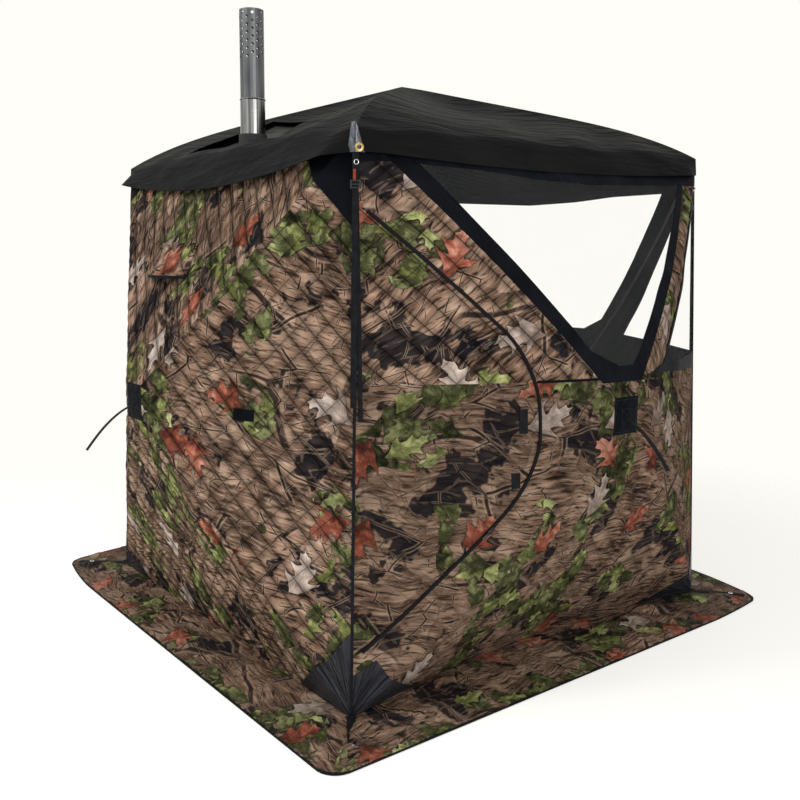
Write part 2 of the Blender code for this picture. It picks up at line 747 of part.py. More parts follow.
def make_brackets():
    """Moulded corner brackets: two clevises at each foot, and three at each eave corner."""
    side_turn = turn(-1)
    names = ("front_left", "front_right", "back_right", "back_left")
    for level, index, corner_height in (("foot", 0, 0), ("eave", 3, EAVE_HEIGHT)):
        half = BASE_HALF if level == "foot" else EAVE_HALF
        pivot, free_end = pole_ends(WALL, index)
        mirror_index = 1 if level == "foot" else 2
        other_pivot, other_end = pole_ends(WALL, mirror_index)
        other_pivot = side_turn @ other_pivot
        other_end = side_turn @ other_end
        inset = BRACKET_INSET - half
        centre = Vector((inset, inset, pivot.z))
        arms = [
            clevis(centre, pivot, OUT, free_end - pivot),
            clevis(centre, other_pivot, side_turn @ OUT, other_end - other_pivot),
        ]
        if level == "eave":
            roof_pivot, roof_end = pole_ends(ROOF, 0)
            arms.append(clevis(centre, roof_pivot, UP, roof_end - roof_pivot))
        solids = [arm for arm, _ in arms]
        if level == "foot":
            plate = FOOT_PLATE / 2
            post = BRACKET_BALL / sqrt(2)
            solids.append(box(
                (centre.x - plate + post, centre.y - plate + post, 0),
                (centre.x + plate, centre.y + plate, FOOT_PLATE_THICKNESS),
            ))
            solids.append(box(
                (centre.x - post, centre.y - post, FOOT_PLATE_THICKNESS / 2),
                (centre.x + post, centre.y + post, centre.z),
            ))
        mesh = combined(ball(centre, BRACKET_BALL), solids, "UNION")
        mesh = combined(mesh, [slot for _, slot in arms], "DIFFERENCE")
        for quarters, name in enumerate(names):
            add(f"{level}_bracket_{name}", mesh, NYLON, turn(quarters))


# The fly's four facets meet the roof's hub patch at the patch's own corners
CROWN_HALF = ROOF.patch_radius / sqrt(2)
FLY_PEAK = ROOF_HUB_HEIGHT + FLY_THICKNESS + FLY_LIFT + FLY_FALL_SHARE * CROWN_HALF


def roof_share(half):
    """How far up a roof ridge the point lies whose larger coordinate is half."""
    return (EAVE_HALF - half) / (EAVE_HALF - CROWN_HALF)


def roof_height(x, y):
    """The roof panel's outer height on the side that faces -X."""
    share = roof_share(abs(x))
    return ROOF.surface(3, share, (abs(x) - y) / (2 * abs(x))).z


def fly_cut():
    """The opening of the fly round the flue, narrower on the side away from the eave."""
    return [
        (FLY_CUT_LOW, FLY_CUT_NEAR),
        (FLY_CUT_HIGH, FLY_CUT_NEAR + FLY_CUT_SLANT),
        (FLY_CUT_HIGH, FLY_CUT_FAR - FLY_CUT_SLANT * FLY_CUT_FAR_SHARE),
        (FLY_CUT_LOW, FLY_CUT_FAR),
    ]


def make_roof():
    """The roof panel with its square flue opening, and the heat-proof jack sewn into it."""
    middle = Vector((FLUE_X, FLUE_Y, roof_height(FLUE_X, FLUE_Y)))
    reach = Vector((JACK_HALF, JACK_HALF, JACK_HALF))
    seam = Vector((FIT_GAP, FIT_GAP, 0))
    hole = box(middle - reach, middle + reach)
    add("roof_panel", combined(ROOF.sheet(QUILT_THICKNESS), [hole], "DIFFERENCE"), QUILT)
    inset = box(middle - reach + seam, middle + reach - seam)
    cloth = combined(ROOF.sheet(JACK_THICKNESS), [inset], "INTERSECT")
    bore = FLUE_RADIUS + FIT_GAP
    place = Matrix.Translation(middle)
    rise = JACK_COLLAR_HEIGHT / 2
    collar = turned([(0, -rise), (bore + JACK_COLLAR_WALL, -rise), (bore + JACK_COLLAR_WALL, rise),
                     (0, rise)], FLUE_SIDES, place)
    hollow = turned([(0, -JACK_HALF), (bore, -JACK_HALF), (bore, JACK_HALF), (0, JACK_HALF)],
                    FLUE_SIDES, place)
    mesh = combined(cloth, [collar], "UNION")
    add("stove_jack", combined(mesh, [hollow], "DIFFERENCE"), HEAT_CLOTH)


def fly_height(half, across):
    """The fly's outer height on its square ring, sagging between the ridges as the roof does."""
    share = min(1.0, max(0.0, roof_share(half)))
    sag = FLY_SAG * 4 * share * (1 - share) * 4 * across * (1 - across)
    shoulder = FLY_SHOULDER_DROP * (half / FLY_SHOULDER_HALF) ** FLY_SHOULDER_POWER
    return FLY_PEAK - FLY_FALL_SHARE * half - shoulder - sag


def square_ring(half_at, height_at):
    """Points round a square: half_at gives how far out each side lies at its stations."""
    points = []
    for quarters in range(4):
        for across in FLY_STATION_SHARES:
            out = half_at(across)
            along = (2 * across - 1) * half_at(0)
            points.append(turn(quarters) @ Vector((along, -out, height_at(across))))
    return points


def make_fly():
    """One coated sheet: four sagging facets, and a flap that hangs over the walls' top edges."""
    halves = [CROWN_HALF] + [FLY_EDGE_HALF * share for share in FLY_RING_SHARES]
    t = FLY_THICKNESS
    outer, inner = [], []
    for half in halves:
        edge = t if half == halves[-1] else 0
        outer.append(square_ring(lambda a: half, lambda a: fly_height(half, a)))
        inner.append(square_ring(lambda a: half - edge, lambda a: fly_height(half, a) - t))
    brim = fly_height(FLY_EDGE_HALF, 0)
    for drop in FLY_FLAP_SHARES:

        def half_at(across, drop=drop):
            swell = FLY_HEM_BULGE if across > 0 else 0
            return FLY_EDGE_HALF + (FLY_HEM_HALF + swell - FLY_EDGE_HALF) * drop

        def height_at(across, drop=drop):
            hem = FLY_HEM_HEIGHT - FLY_HEM_DIP * 4 * across * (1 - across)
            return brim + (hem - brim) * drop

        outer.append(square_ring(half_at, height_at))
        inner.append(square_ring(lambda a: half_at(a) - t, height_at))
    count = len(outer[0])
    rings = outer + inner[::-1]
    points = [p for ring in rings for p in ring]
    points += [Vector((0, 0, FLY_PEAK)), Vector((0, 0, FLY_PEAK - t))]
    # The outer and inner skins are split along the same diagonals, so that they never cross.
    faces = []
    for row in range(len(rings) - 1):
        for k in range(count):
            following = (k + 1) % count
            low, high = row * count, (row + 1) * count
            if row < len(outer):
                faces.append((low + k, low + following, high + k))
                faces.append((low + following, high + following, high + k))
            else:
                faces.append((low + k, low + following, high + following))
                faces.append((low + k, high + following, high + k))
    last = (len(rings) - 1) * count
    top, under = len(points) - 2, len(points) - 1
    faces += [(k, (k + 1) % count, top) for k in range(count)]
    faces += [(last + k, last + (k + 1) % count, under) for k in range(count)]
    cut = prism(fly_cut(), EAVE_HEIGHT, FLY_PEAK)
    add("rain_fly", combined(mesh_from("fly", points, faces), [cut], "DIFFERENCE"), FLY_CLOTH)


def make_skirt():
    """The mud skirt: a band of cloth sewn round the walls' foot that lies out on the ground."""
    outer_half = BASE_HALF + SKIRT_WIDTH
    bend = SKIRT_CORNER_RADIUS
    inner, outer = [], []
    for quarters in range(4):
        panel = FRONT if quarters == 0 else WALL
        first = bend / (2 * BASE_HALF)
        spots = [first, *[k / PANEL_SIDE_STEPS for k in range(1, PANEL_SIDE_STEPS)], 1 - first]
        straight = outer_half - bend
        corner = Vector((-BASE_HALF - SKIRT_CLEARANCE, -BASE_HALF - SKIRT_CLEARANCE, 0))
        inner.append(turn(quarters) @ corner)
        slack = bend * (1 - 1 / sqrt(2))
        outer.append(turn(quarters) @ Vector((slack - outer_half, slack - outer_half, 0)))
        for across in spots:
            foot = panel.foot(across) + panel.out * SKIRT_CLEARANCE
            inner.append(turn(quarters) @ foot)
            outer.append(turn(quarters) @ Vector(((2 * across - 1) * straight, -outer_half, 0)))
    count = len(inner)
    crests = [SKIRT_CREASE * abs(sin(SKIRT_CREASE_TURN * k)) for k in range(count)]
    middle = [a.lerp(b, 0.5) for a, b in zip(inner, outer)]
    lift = Vector((0, 0, SKIRT_THICKNESS))
    rings = [
        inner,
        [p + lift for p in inner],
        [p + lift + UP * crest for p, crest in zip(middle, crests)],
        [p + lift for p in outer],
        outer,
    ]
    points = [p for ring in rings for p in ring]
    faces = []
    for row in range(len(rings)):
        for k in range(count):
            following = (k + 1) % count
            low, high = row * count, (row + 1) % len(rings) * count
            faces.append((low + k, low + following, high + following, high + k))
    add("ground_skirt", mesh_from("skirt", points, faces), FLY_CLOTH)


def make_door_zip():
    """The zip's tape round the door's free edge; it ends short of the sewn hinge line."""
    lift = FIT_GAP + ZIP_TAPE_THICKNESS
    tape = FRONT.sheet(ZIP_TAPE_THICKNESS, lift)
    outside = wall_prism(inset_outline(door_outline(), -ZIP_TAPE_WIDTH))
    inside = wall_prism(inset_outline(door_outline(), -ZIP_GAP))
    ring = combined(tape, [outside], "INTERSECT")
    corner_edge = FRONT.corners[0]
    foot = Vector((DOOR_BOTTOM.x, DOOR_BOTTOM.z))
    head = Vector((DOOR_TOP.x, DOOR_TOP.z))
    up = (head - foot).normalized()
    ahead = Vector((up.y, -up.x)) * ZIP_END_GAP
    behind = Vector((-up.y, up.x)) * (MITRE_REACH * ZIP_TAPE_WIDTH)
    beyond = up * (MITRE_REACH * ZIP_TAPE_WIDTH)
    low, high = foot - beyond, head + beyond
    hinge_side = wall_prism([low + behind, low + ahead, high + ahead, high + behind])
    ring = combined(ring, [inside, hinge_side], "DIFFERENCE")
    ring.transform(Matrix.Translation(-corner_edge))
    add("door_zip", ring, WEBBING, Matrix.Translation(corner_edge))


def front_surface(x, z):
    """The point of the front wall's left facet at a place in X and Z."""
    low, high = 0.0, 1.0
    for _ in range(SOLVER_STEPS):
        share = (low + high) / 2
        head, foot = FRONT.ridge(3, share), FRONT.ridge(0, share)
        line_x = foot.x + (head.x - foot.x) * (z - foot.z) / (head.z - foot.z)
        low, high = (share, high) if line_x < x else (low, share)
    return foot.lerp(head, (z - foot.z) / (head.z - foot.z))


def zip_run():
    """The start, middle and end of the slider's way along the door's lower straight run."""
    outline = [Vector(p) for p in door_outline()]
    foot, nose = outline[0], outline[1]
    along = (foot - nose).normalized()
    normal = Vector((along.y, -along.x))
    if normal.y > 0:
        normal = -normal
    edge = nose + normal * (ZIP_TAPE_WIDTH / 2)
    spots = [edge + along * (SLIDER_START + SLIDER_TRAVEL * share) for share in (0, 0.5, 1)]
    return [front_surface(p.x, p.y) for p in spots]


def circle_through(a, b, c):
    """The centre of the circle through three points."""
    u, v = b - a, c - a
    normal = u.cross(v)
    to_centre = (normal.cross(u) * v.length_squared + v.cross(normal) * u.length_squared)
    return a + to_centre / (2 * normal.length_squared)


def make_slider():
    """The slider's origin is the middle of the wide arc that the zip follows over the bowed wall."""
    start, middle, end = zip_run()
    centre = circle_through(start, middle, end)
    along = (end - start).normalized()
    beside = front_surface(start.x + SLIDER_WIDTH, start.z) - start
    above = front_surface(start.x, start.z + SLIDER_WIDTH) - start
    place = frame_at(start, along, beside.cross(above).normalized())
    base = FIT_GAP + ZIP_TAPE_THICKNESS + SLIDER_CLEARANCE
    half_long, half_wide = SLIDER_LENGTH / 2, SLIDER_WIDTH / 2
    tab_half = SLIDER_TAB_WIDTH / 2
    body = box((-half_long, -half_wide, base), (half_long, half_wide, base + SLIDER_HEIGHT))
    low = base + SLIDER_HEIGHT - SLIDER_TAB_THICKNESS
    tab = box((0, -tab_half, low), (SLIDER_TAB_LENGTH, tab_half, base + SLIDER_HEIGHT + FIT_GAP))
    mesh = combined(body, [tab], "UNION")
    mesh.transform(Matrix.Translation(-centre) @ place)
    add("zip_slider", mesh, STEEL, Matrix.Translation(centre))


def top_facet_point(x, z):
    """The outer surface of a wall's upper facet, where depth changes with height alone."""
    top = WALL.ridge(3, 0)
    low = WALL.patch_corner(3)
    share = (top.z - z) / (top.z - low.z)
    return Vector((x, WALL.ridge(3, share).y, z))


def make_hood():
    """An eyelid of cloth over the vent hole, sewn along its top and stiffened along its rim."""
    head = VENT_HEIGHT + HOOD_RISE
    middle = -VENT_FROM_MIDDLE
    outer, inner = [], []
    for row in range(HOOD_ROWS + 1):
        for column in range(HOOD_COLUMNS + 1):
            across, down = column / HOOD_COLUMNS, row / HOOD_ROWS
            point = top_facet_point(middle + (across - 0.5) * HOOD_WIDTH, head - down * HOOD_DROP)
            arch = 4 * across * (1 - across)
            point += OUT * (HOOD_STAND_OFF + HOOD_OUT * arch * down)
            inner.append(point)
            outer.append(point + OUT * HOOD_THICKNESS)
    pivot = top_facet_point(middle, head) + OUT * HOOD_STAND_OFF
    wide = HOOD_COLUMNS + 1
    total = len(outer)
    faces = []
    for layer in (0, total):
        for row in range(HOOD_ROWS):
            for column in range(HOOD_COLUMNS):
                k = layer + row * wide + column
                faces.append((k, k + 1, k + wide + 1, k + wide))
    rim = [*range(wide), *range(2 * wide - 1, total, wide),
           *range(total - 2, total - wide - 1, -1), *range(total - 2 * wide, 0, -wide)]
    for a, b in zip(rim, rim[1:] + rim[:1]):
        faces.append((a, b, total + b, total + a))
    mesh = mesh_from("hood", [p - pivot for p in outer + inner], faces)
    add("vent_hood", mesh, QUILT, turn(3) @ Matrix.Translation(pivot))


def tube_wall(radius, wall, low, high, x=FLUE_X, y=FLUE_Y):
    """A round pipe with square ends, standing on Z."""
    profile = [(radius - wall, low), (radius, low), (radius, high), (radius - wall, high)]
    return turned(profile, FLUE_SIDES, Matrix.Translation((x, y, 0)))


STOVE_TOP = STOVE_LEG_HEIGHT + STOVE_HEIGHT
STOVE_BACK = FLUE_Y + STOVE_FLUE_SETBACK
STOVE_FRONT = STOVE_BACK - STOVE_DEPTH
STOVE_LEFT = FLUE_X - STOVE_WIDTH / 2
STOVE_RIGHT = FLUE_X + STOVE_WIDTH / 2
DOOR_LEFT = FLUE_X - STOVE_DOOR_WIDTH / 2
DOOR_RIGHT = FLUE_X + STOVE_DOOR_WIDTH / 2
DOOR_HIGH = STOVE_TOP - STOVE_DOOR_DROP
DOOR_LOW = DOOR_HIGH - STOVE_DOOR_HEIGHT
DOOR_BACK_Y = STOVE_FRONT - FIT_GAP
DOOR_FRONT_Y = DOOR_BACK_Y - STOVE_DOOR_THICKNESS
HINGE_X = DOOR_LEFT - STOVE_HINGE_RADIUS / 2
HINGE_Y = STOVE_FRONT - FIT_GAP - STOVE_HINGE_RADIUS


def make_flue():
    """Two lengths of stainless flue; the upper one ends in a punched spark arrestor."""
    inner = FLUE_RADIUS - FLUE_WALL
    foot = STOVE_TOP + FIT_GAP
    top = FLUE_JOINT_HEIGHT
    bead = FLUE_BEAD_HEIGHT / 2
    profile = [
        (inner, foot),
        (FLUE_RADIUS, foot),
        (FLUE_RADIUS, top - FLUE_BEAD_HEIGHT),
        (FLUE_RADIUS + FLUE_BEAD, top - bead),
        (FLUE_RADIUS, top),
        (inner, top),
    ]
    at_flue = Matrix.Translation((FLUE_X, FLUE_Y, 0))
    lower = turned(profile, FLUE_SIDES, at_flue)
    across = Matrix.Translation((FLUE_X, FLUE_Y, DAMPER_HEIGHT)) @ Matrix.Rotation(QUARTER, 4, "Y")
    reach = FLUE_RADIUS + CUT_OVERRUN
    bore = DAMPER_SPINDLE + FIT_GAP
    hole = turned([(0, -reach), (bore, -reach), (bore, reach), (0, reach)], DAMPER_SIDES, across)
    add("flue_lower", combined(lower, [hole], "DIFFERENCE"), STEEL, smooth=True)
    outside = inner - FIT_GAP
    upper = tube_wall(outside, FLUE_WALL, top - FLUE_LAP, FLUE_TOP_HEIGHT)
    holes = []
    for column in range(ARRESTOR_COLUMNS):
        stagger = (column % 2) / 2
        for row in range(ARRESTOR_ROWS):
            height = FLUE_TOP_HEIGHT - ARRESTOR_DROP + (row + stagger) * ARRESTOR_ROW_PITCH
            if height > FLUE_TOP_HEIGHT - ARRESTOR_HOLE:
                continue
            angle = 2 * pi * (column + 0.5) / ARRESTOR_COLUMNS
            lane = Matrix.Translation((FLUE_X, FLUE_Y, height)) @ Matrix.Rotation(angle, 4, "Z")
            lane = lane @ Matrix.Rotation(QUARTER, 4, "Y")
            low, high = outside / 2, outside + CUT_OVERRUN
            radius = ARRESTOR_HOLE / 2
            holes.append(turned([(0, low), (radius, low), (radius, high), (0, high)], 6, lane))
    add("flue_upper", combined(upper, [joined(holes)], "DIFFERENCE"), STEEL, smooth=True)


def joined(meshes):
    """Several separate closed meshes as one mesh."""
    work = bmesh.new()
    for mesh in meshes:
        work.from_mesh(mesh)
    made = bpy.data.meshes.new("joined")
    work.to_mesh(made)
    work.free()
    return made


def make_damper():
    """A disc on a spindle across the flue, shown open, with its handle on the cabin side."""
    turn_x = Matrix.Rotation(QUARTER, 4, "Y")
    turn_y = Matrix.Rotation(QUARTER, 4, "X")
    disc_radius = FLUE_RADIUS - FLUE_WALL - DAMPER_MARGIN
    half = DAMPER_THICKNESS / 2
    profile = [(0, -half), (disc_radius, -half), (disc_radius, half), (0, half)]
    disc = turned(profile, ROUND_SIDES, turn_y)
    low = -FLUE_RADIUS - DAMPER_STUB
    high = FLUE_RADIUS + DAMPER_HANDLE
    r = DAMPER_SPINDLE
    spindle = turned([(0, low), (r, low), (r, high), (0, high)], DAMPER_SIDES, turn_x)
    deep = r + FIT_GAP
    knob = box(
        (-DAMPER_KNOB, -deep, -3 * DAMPER_KNOB),
        (DAMPER_KNOB, deep, DAMPER_KNOB),
        Matrix.Translation((high, 0, 0)),
    )
    mesh = combined(disc, [spindle, knob], "UNION")
    add("flue_damper", mesh, STEEL, Matrix.Translation((FLUE_X, FLUE_Y, DAMPER_HEIGHT)), smooth=True)


def make_stove():
    """A folded steel firebox on four legs, with its flue spigot, hinge pins, rails and keeper."""
    w = STOVE_WALL
    base = STOVE_LEG_HEIGHT
    case = box((STOVE_LEFT, STOVE_FRONT, base), (STOVE_RIGHT, STOVE_BACK, STOVE_TOP))
    cavity = box(
        (STOVE_LEFT + w, STOVE_FRONT + w, base + w),
        (STOVE_RIGHT - w, STOVE_BACK - w, STOVE_TOP - w),
    )
    margin = STOVE_MOUTH_MARGIN
    mouth = box(
        (DOOR_LEFT + margin, STOVE_FRONT - CUT_OVERRUN, DOOR_LOW + margin),
        (DOOR_RIGHT - margin, STOVE_FRONT + CUT_OVERRUN, DOOR_HIGH - margin),
    )
    slot_top = STOVE_TOP - AIR_SLIDE_DROP + AIR_SLOT_HEIGHT / 2
    slot = box(
        (FLUE_X - AIR_SLOT_WIDTH / 2, STOVE_FRONT - CUT_OVERRUN, slot_top - AIR_SLOT_HEIGHT),
        (FLUE_X + AIR_SLOT_WIDTH / 2, STOVE_FRONT + CUT_OVERRUN, slot_top),
    )
    spigot_radius = FLUE_RADIUS - FLUE_WALL - FIT_GAP
    at_flue = Matrix.Translation((FLUE_X, FLUE_Y, 0))
    low, high = STOVE_TOP - w / 2, STOVE_TOP + STOVE_SPIGOT_HEIGHT
    spigot = turned([(0, low), (spigot_radius, low), (spigot_radius, high), (0, high)], FLUE_SIDES, at_flue)
    bore_radius = spigot_radius - w / 2
    bore_low = STOVE_TOP - CUT_OVERRUN
    bore_high = high + CUT_OVERRUN
    bore = turned([(0, bore_low), (bore_radius, bore_low), (bore_radius, bore_high), (0, bore_high)],
                  FLUE_SIDES, at_flue)
    extras = [spigot]
    for x in (STOVE_LEFT + STOVE_LEG_INSET, STOVE_RIGHT - STOVE_LEG_INSET - STOVE_LEG_SIDE):
        for y in (STOVE_FRONT + STOVE_LEG_INSET, STOVE_BACK - STOVE_LEG_INSET - STOVE_LEG_SIDE):
            extras.append(box((x, y, 0), (x + STOVE_LEG_SIDE, y + STOVE_LEG_SIDE, base + w / 2)))
    r = STOVE_HINGE_RADIUS
    for height in (DOOR_LOW, DOOR_HIGH - 2 * STOVE_HINGE_LENGTH - FIT_GAP):
        top = height + STOVE_HINGE_LENGTH
        pin = Matrix.Translation((HINGE_X, HINGE_Y, 0))
        extras.append(turned([(0, height), (r, height), (r, top), (0, top)], DAMPER_SIDES, pin))
        low = (HINGE_X - r, HINGE_Y, height + w / 2)
        extras.append(box(low, (HINGE_X, STOVE_FRONT + w / 2, top - w / 2)))
    rail = AIR_RAIL
    plate_high = STOVE_TOP - AIR_SLIDE_DROP + AIR_SLIDE_HEIGHT / 2
    plate_low = plate_high - AIR_SLIDE_HEIGHT
    depth = AIR_SLIDE_THICKNESS + 2 * FIT_GAP
    left, right = FLUE_X - AIR_RAIL_LENGTH / 2, FLUE_X + AIR_RAIL_LENGTH / 2
    near = STOVE_FRONT - depth - rail
    for side in (1, -1):
        edge = plate_high + FIT_GAP if side > 0 else plate_low - FIT_GAP
        outside = edge + side * rail
        lip = edge - side * rail
        web, cover = sorted((edge, outside)), sorted((lip, outside))
        extras.append(box((left, near, web[0]), (right, STOVE_FRONT + w / 2, web[1])))
        extras.append(box((left, near, cover[0]), (right, STOVE_FRONT - depth, cover[1])))
    latch_z = (DOOR_LOW + DOOR_HIGH) / 2
    keeper = DOOR_RIGHT - LATCH_INSET + LATCH_ARM - LATCH_WIDTH / 2
    half = LATCH_WIDTH / 2
    low = (keeper - half, DOOR_FRONT_Y, latch_z - half)
    extras.append(box(low, (keeper + half, STOVE_FRONT + w / 2, latch_z + half)))
    mesh = combined(case, extras, "UNION")
    mesh = combined(mesh, [cavity, mouth, slot, bore], "DIFFERENCE")
    add("stove_body", mesh, STOVE_STEEL)


def make_stove_door():
    """A plate door on two knuckles; its origin is on the hinge pins' line."""
    plate = box((DOOR_LEFT, DOOR_FRONT_Y, DOOR_LOW), (DOOR_RIGHT, DOOR_BACK_Y, DOOR_HIGH))
    r = STOVE_HINGE_RADIUS
    knuckles = []
    for height in (DOOR_LOW + STOVE_HINGE_LENGTH + FIT_GAP, DOOR_HIGH - STOVE_HINGE_LENGTH):
        top = height + STOVE_HINGE_LENGTH
        pin = Matrix.Translation((HINGE_X, HINGE_Y, 0))
        knuckles.append(turned([(0, height), (r, height), (r, top), (0, top)], DAMPER_SIDES, pin))
    # The plate clears the body's own knuckles beside it.
    reliefs = []
    for height in (DOOR_LOW, DOOR_HIGH - 2 * STOVE_HINGE_LENGTH - FIT_GAP):
        low = (HINGE_X - r, DOOR_FRONT_Y - CUT_OVERRUN, height - FIT_GAP)
        high = (HINGE_X + r + FIT_GAP, DOOR_BACK_Y + CUT_OVERRUN, height + STOVE_HINGE_LENGTH + FIT_GAP)
        reliefs.append(box(low, high))
    plate = combined(plate, reliefs, "DIFFERENCE")
    mesh = combined(plate, knuckles, "UNION")
    origin = Vector((HINGE_X, HINGE_Y, DOOR_LOW))
    mesh.transform(Matrix.Translation(-origin))
    add("stove_door", mesh, STOVE_STEEL, Matrix.Translation(origin))


def make_latch():
    """A turn latch on the door's free side, whose arm bears on the keeper."""
    pivot = Vector((DOOR_RIGHT - LATCH_INSET, DOOR_FRONT_Y - FIT_GAP, (DOOR_LOW + DOOR_HIGH) / 2))
    half = LATCH_WIDTH / 2
    arm = box((0, -LATCH_THICKNESS, -half), (LATCH_ARM, 0, half))
    facing = Matrix.Rotation(QUARTER, 4, "X")
    profile = [(0, 0), (half, 0), (half, LATCH_THICKNESS), (0, LATCH_THICKNESS)]
    boss = turned(profile, ROUND_SIDES // 2, facing)
    low, high = LATCH_THICKNESS / 2, LATCH_KNOB_LENGTH
    neck = LATCH_KNOB / 2
    profile = [
        (0, low),
        (neck, low),
        (neck, high / 2),
        (LATCH_KNOB, high * 2 / 3),
        (LATCH_KNOB, high),
        (0, high),
    ]
    knob = turned(profile, ROUND_SIDES // 2, facing)
    mesh = combined(boss, [arm, knob], "UNION")
    add("stove_latch", mesh, STEEL, Matrix.Translation(pivot), smooth=True)


def make_air_slide():
    """The draught plate in its two rails, with a bent tab to push it by."""
    high = STOVE_TOP - AIR_SLIDE_DROP + AIR_SLIDE_HEIGHT / 2
    back = STOVE_FRONT - FIT_GAP
    front = back - AIR_SLIDE_THICKNESS
    half = AIR_SLIDE_WIDTH / 2
    plate = box((-half, front, high - AIR_SLIDE_HEIGHT), (half, back, high))
    middle = high - AIR_SLIDE_HEIGHT / 2
    tab = box((half - AIR_SLIDE_THICKNESS, front - AIR_TAB, middle - AIR_TAB / 2),
              (half, back - AIR_SLIDE_THICKNESS / 2, middle + AIR_TAB / 2))
    mesh = combined(plate, [tab], "UNION")
    add("air_slide", mesh, STEEL, Matrix.Translation((FLUE_X, 0, 0)))


def make_tray():
    """An open steel tray on the stove's top, heaped with round stones."""
    wall = TRAY_WALL
    low_z, high_z = STOVE_TOP + FIT_GAP, STOVE_TOP + FIT_GAP + TRAY_HEIGHT
    left, right = STOVE_LEFT + TRAY_MARGIN, STOVE_RIGHT - TRAY_MARGIN
    near, far = STOVE_FRONT + TRAY_MARGIN, FLUE_Y - FLUE_RADIUS - TRAY_MARGIN
    case = box((left, near, low_z), (right, far, high_z))
    hollow = box((left + wall, near + wall, low_z + wall), (right - wall, far - wall, high_z + CUT_OVERRUN))
    tray = combined(case, [hollow], "DIFFERENCE")
    stones = []
    pitch_x = (right - left - 2 * wall - STONE_SIZE) / (STONE_COLUMNS - 1)
    pitch_y = (far - near - 2 * wall - STONE_SIZE) / (STONE_ROWS - 1)
    for row in range(STONE_ROWS):
        for column in range(STONE_COLUMNS):
            wobble = STONE_BURY * sin(STONE_ROW_TURN * row + STONE_COLUMN_TURN * column)
            x = left + wall + STONE_SIZE / 2 + column * pitch_x
            y = near + wall + STONE_SIZE / 2 + row * pitch_y
            z = low_z + wall + STONE_SIZE / 2 - STONE_BURY + abs(wobble)
            shape = Matrix.Translation((x, y, z)) @ Matrix.Rotation(row + 2 * column, 4, "Z")
            shape = shape @ Matrix.Diagonal((1, STONE_DEPTH_SHARE, STONE_HEIGHT_SHARE, 1))
            stone = ball((0, 0, 0), STONE_SIZE / 2 + STONE_OVERLAP)
            stone.transform(shape)
            stones.append(stone)
    inset = wall / 2
    keep = box(
        (left + inset, near + inset, low_z + inset),
        (right - inset, far - inset, high_z + STONE_SIZE),
    )
    heap = combined(stones[0], stones[1:], "UNION")
    heap = combined(heap, [keep], "INTERSECT")
    mesh = combined(tray, [heap], "UNION")
    add("rock_tray", mesh, STONE)


def strip(path, side, width, thickness):
    """A flat strap along a path: its width lies along side, its thickness square to both."""
    path = [Vector(p) for p in path]
    side = Vector(side).normalized()
    points = []
    for k, centre in enumerate(path):
        ahead = (path[min(k + 1, len(path) - 1)] - path[max(k - 1, 0)]).normalized()
        face = ahead.cross(side).normalized()
        for u, v in ((-1, -1), (1, -1), (1, 1), (-1, 1)):
            points.append(centre + side * (u * width / 2) + face * (v * thickness / 2))
    faces = [(0, 1, 2, 3), tuple(range(len(points) - 4, len(points)))]
    for k in range(len(path) - 1):
        for j in range(4):
            following = (j + 1) % 4
            faces.append((4 * k + j, 4 * k + following, 4 * k + 4 + following, 4 * k + 4 + j))
    return mesh_from("strip", points, faces)


def pull_strap_path():
    """From the hub's patch out and down: a stiff webbing end that bends under its own weight."""
    points = []
    start = OUT * (FIT_GAP + WEBBING_THICKNESS / 2)
    step = PULL_STRAP_LENGTH / PULL_STRAP_STEPS
    place = WALL.hub + start - UP * (PULL_STRAP_WIDTH / 2)
    for k in range(PULL_STRAP_STEPS + 1):
        points.append(place.copy())
        angle = radians(PULL_STRAP_ANGLES[min(k, len(PULL_STRAP_ANGLES) - 1)])
        place = place + (OUT * cos(angle) - UP * sin(angle)) * step
    return points


def make_straps():
    """Pull straps on the two hubs in view, and the fly's hold-down strap at the near corner."""
    mesh = strip(pull_strap_path(), ACROSS, PULL_STRAP_WIDTH, WEBBING_THICKNESS)
    mesh.transform(Matrix.Translation(-WALL.hub))
    for wall in ("front", "left"):
        place = turn(WALL_TURNS[wall]) @ Matrix.Translation(WALL.hub)
        add(f"{wall}_pull_strap", mesh, WEBBING, place)
    top_half = FLY_HEM_HALF - FLY_THICKNESS / 2
    low_half = BASE_HALF + (EAVE_HALF - BASE_HALF) * CORNER_STRAP_BOTTOM / EAVE_HEIGHT
    low_half += CORNER_STRAP_STAND_OFF
    top = Vector((-top_half, -top_half, FLY_HEM_HEIGHT - CORNER_STRAP_DROP))
    bottom = Vector((-low_half, -low_half, CORNER_STRAP_BOTTOM))
    side = Vector((1, -1, 0))
    band = strip([top, bottom], side, CORNER_STRAP_WIDTH, WEBBING_THICKNESS)
    share = (top.z - BUCKLE_HEIGHT) / (top.z - bottom.z)
    spot = top.lerp(bottom, share)
    along = (bottom - top).normalized() * (BUCKLE_LENGTH / 2)
    buckle = strip([spot - along, spot + along], side, BUCKLE_WIDTH, BUCKLE_THICKNESS)
    mesh = combined(band, [buckle], "UNION")
    mesh.transform(Matrix.Translation(-top))
    add("corner_strap", mesh, WEBBING, Matrix.Translation(top))


make_walls()
make_door()
make_door_zip()
make_slider()
make_poles()
make_hubs()
make_brackets()
make_roof()
make_fly()
make_skirt()
make_hood()
make_flue()
make_damper()
make_stove()
make_stove_door()
make_latch()
make_air_slide()
make_tray()
make_straps()
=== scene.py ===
# A sauna tent, pitched: quilted walls sprung out by hubs and poles, a rain fly over the roof,
# a ground skirt, a zipped door, clear windows, and the flue of the stove that stands inside.
from math import cos, pi, radians, sin

import bpy
import numpy as np
from mathutils import Matrix, Vector


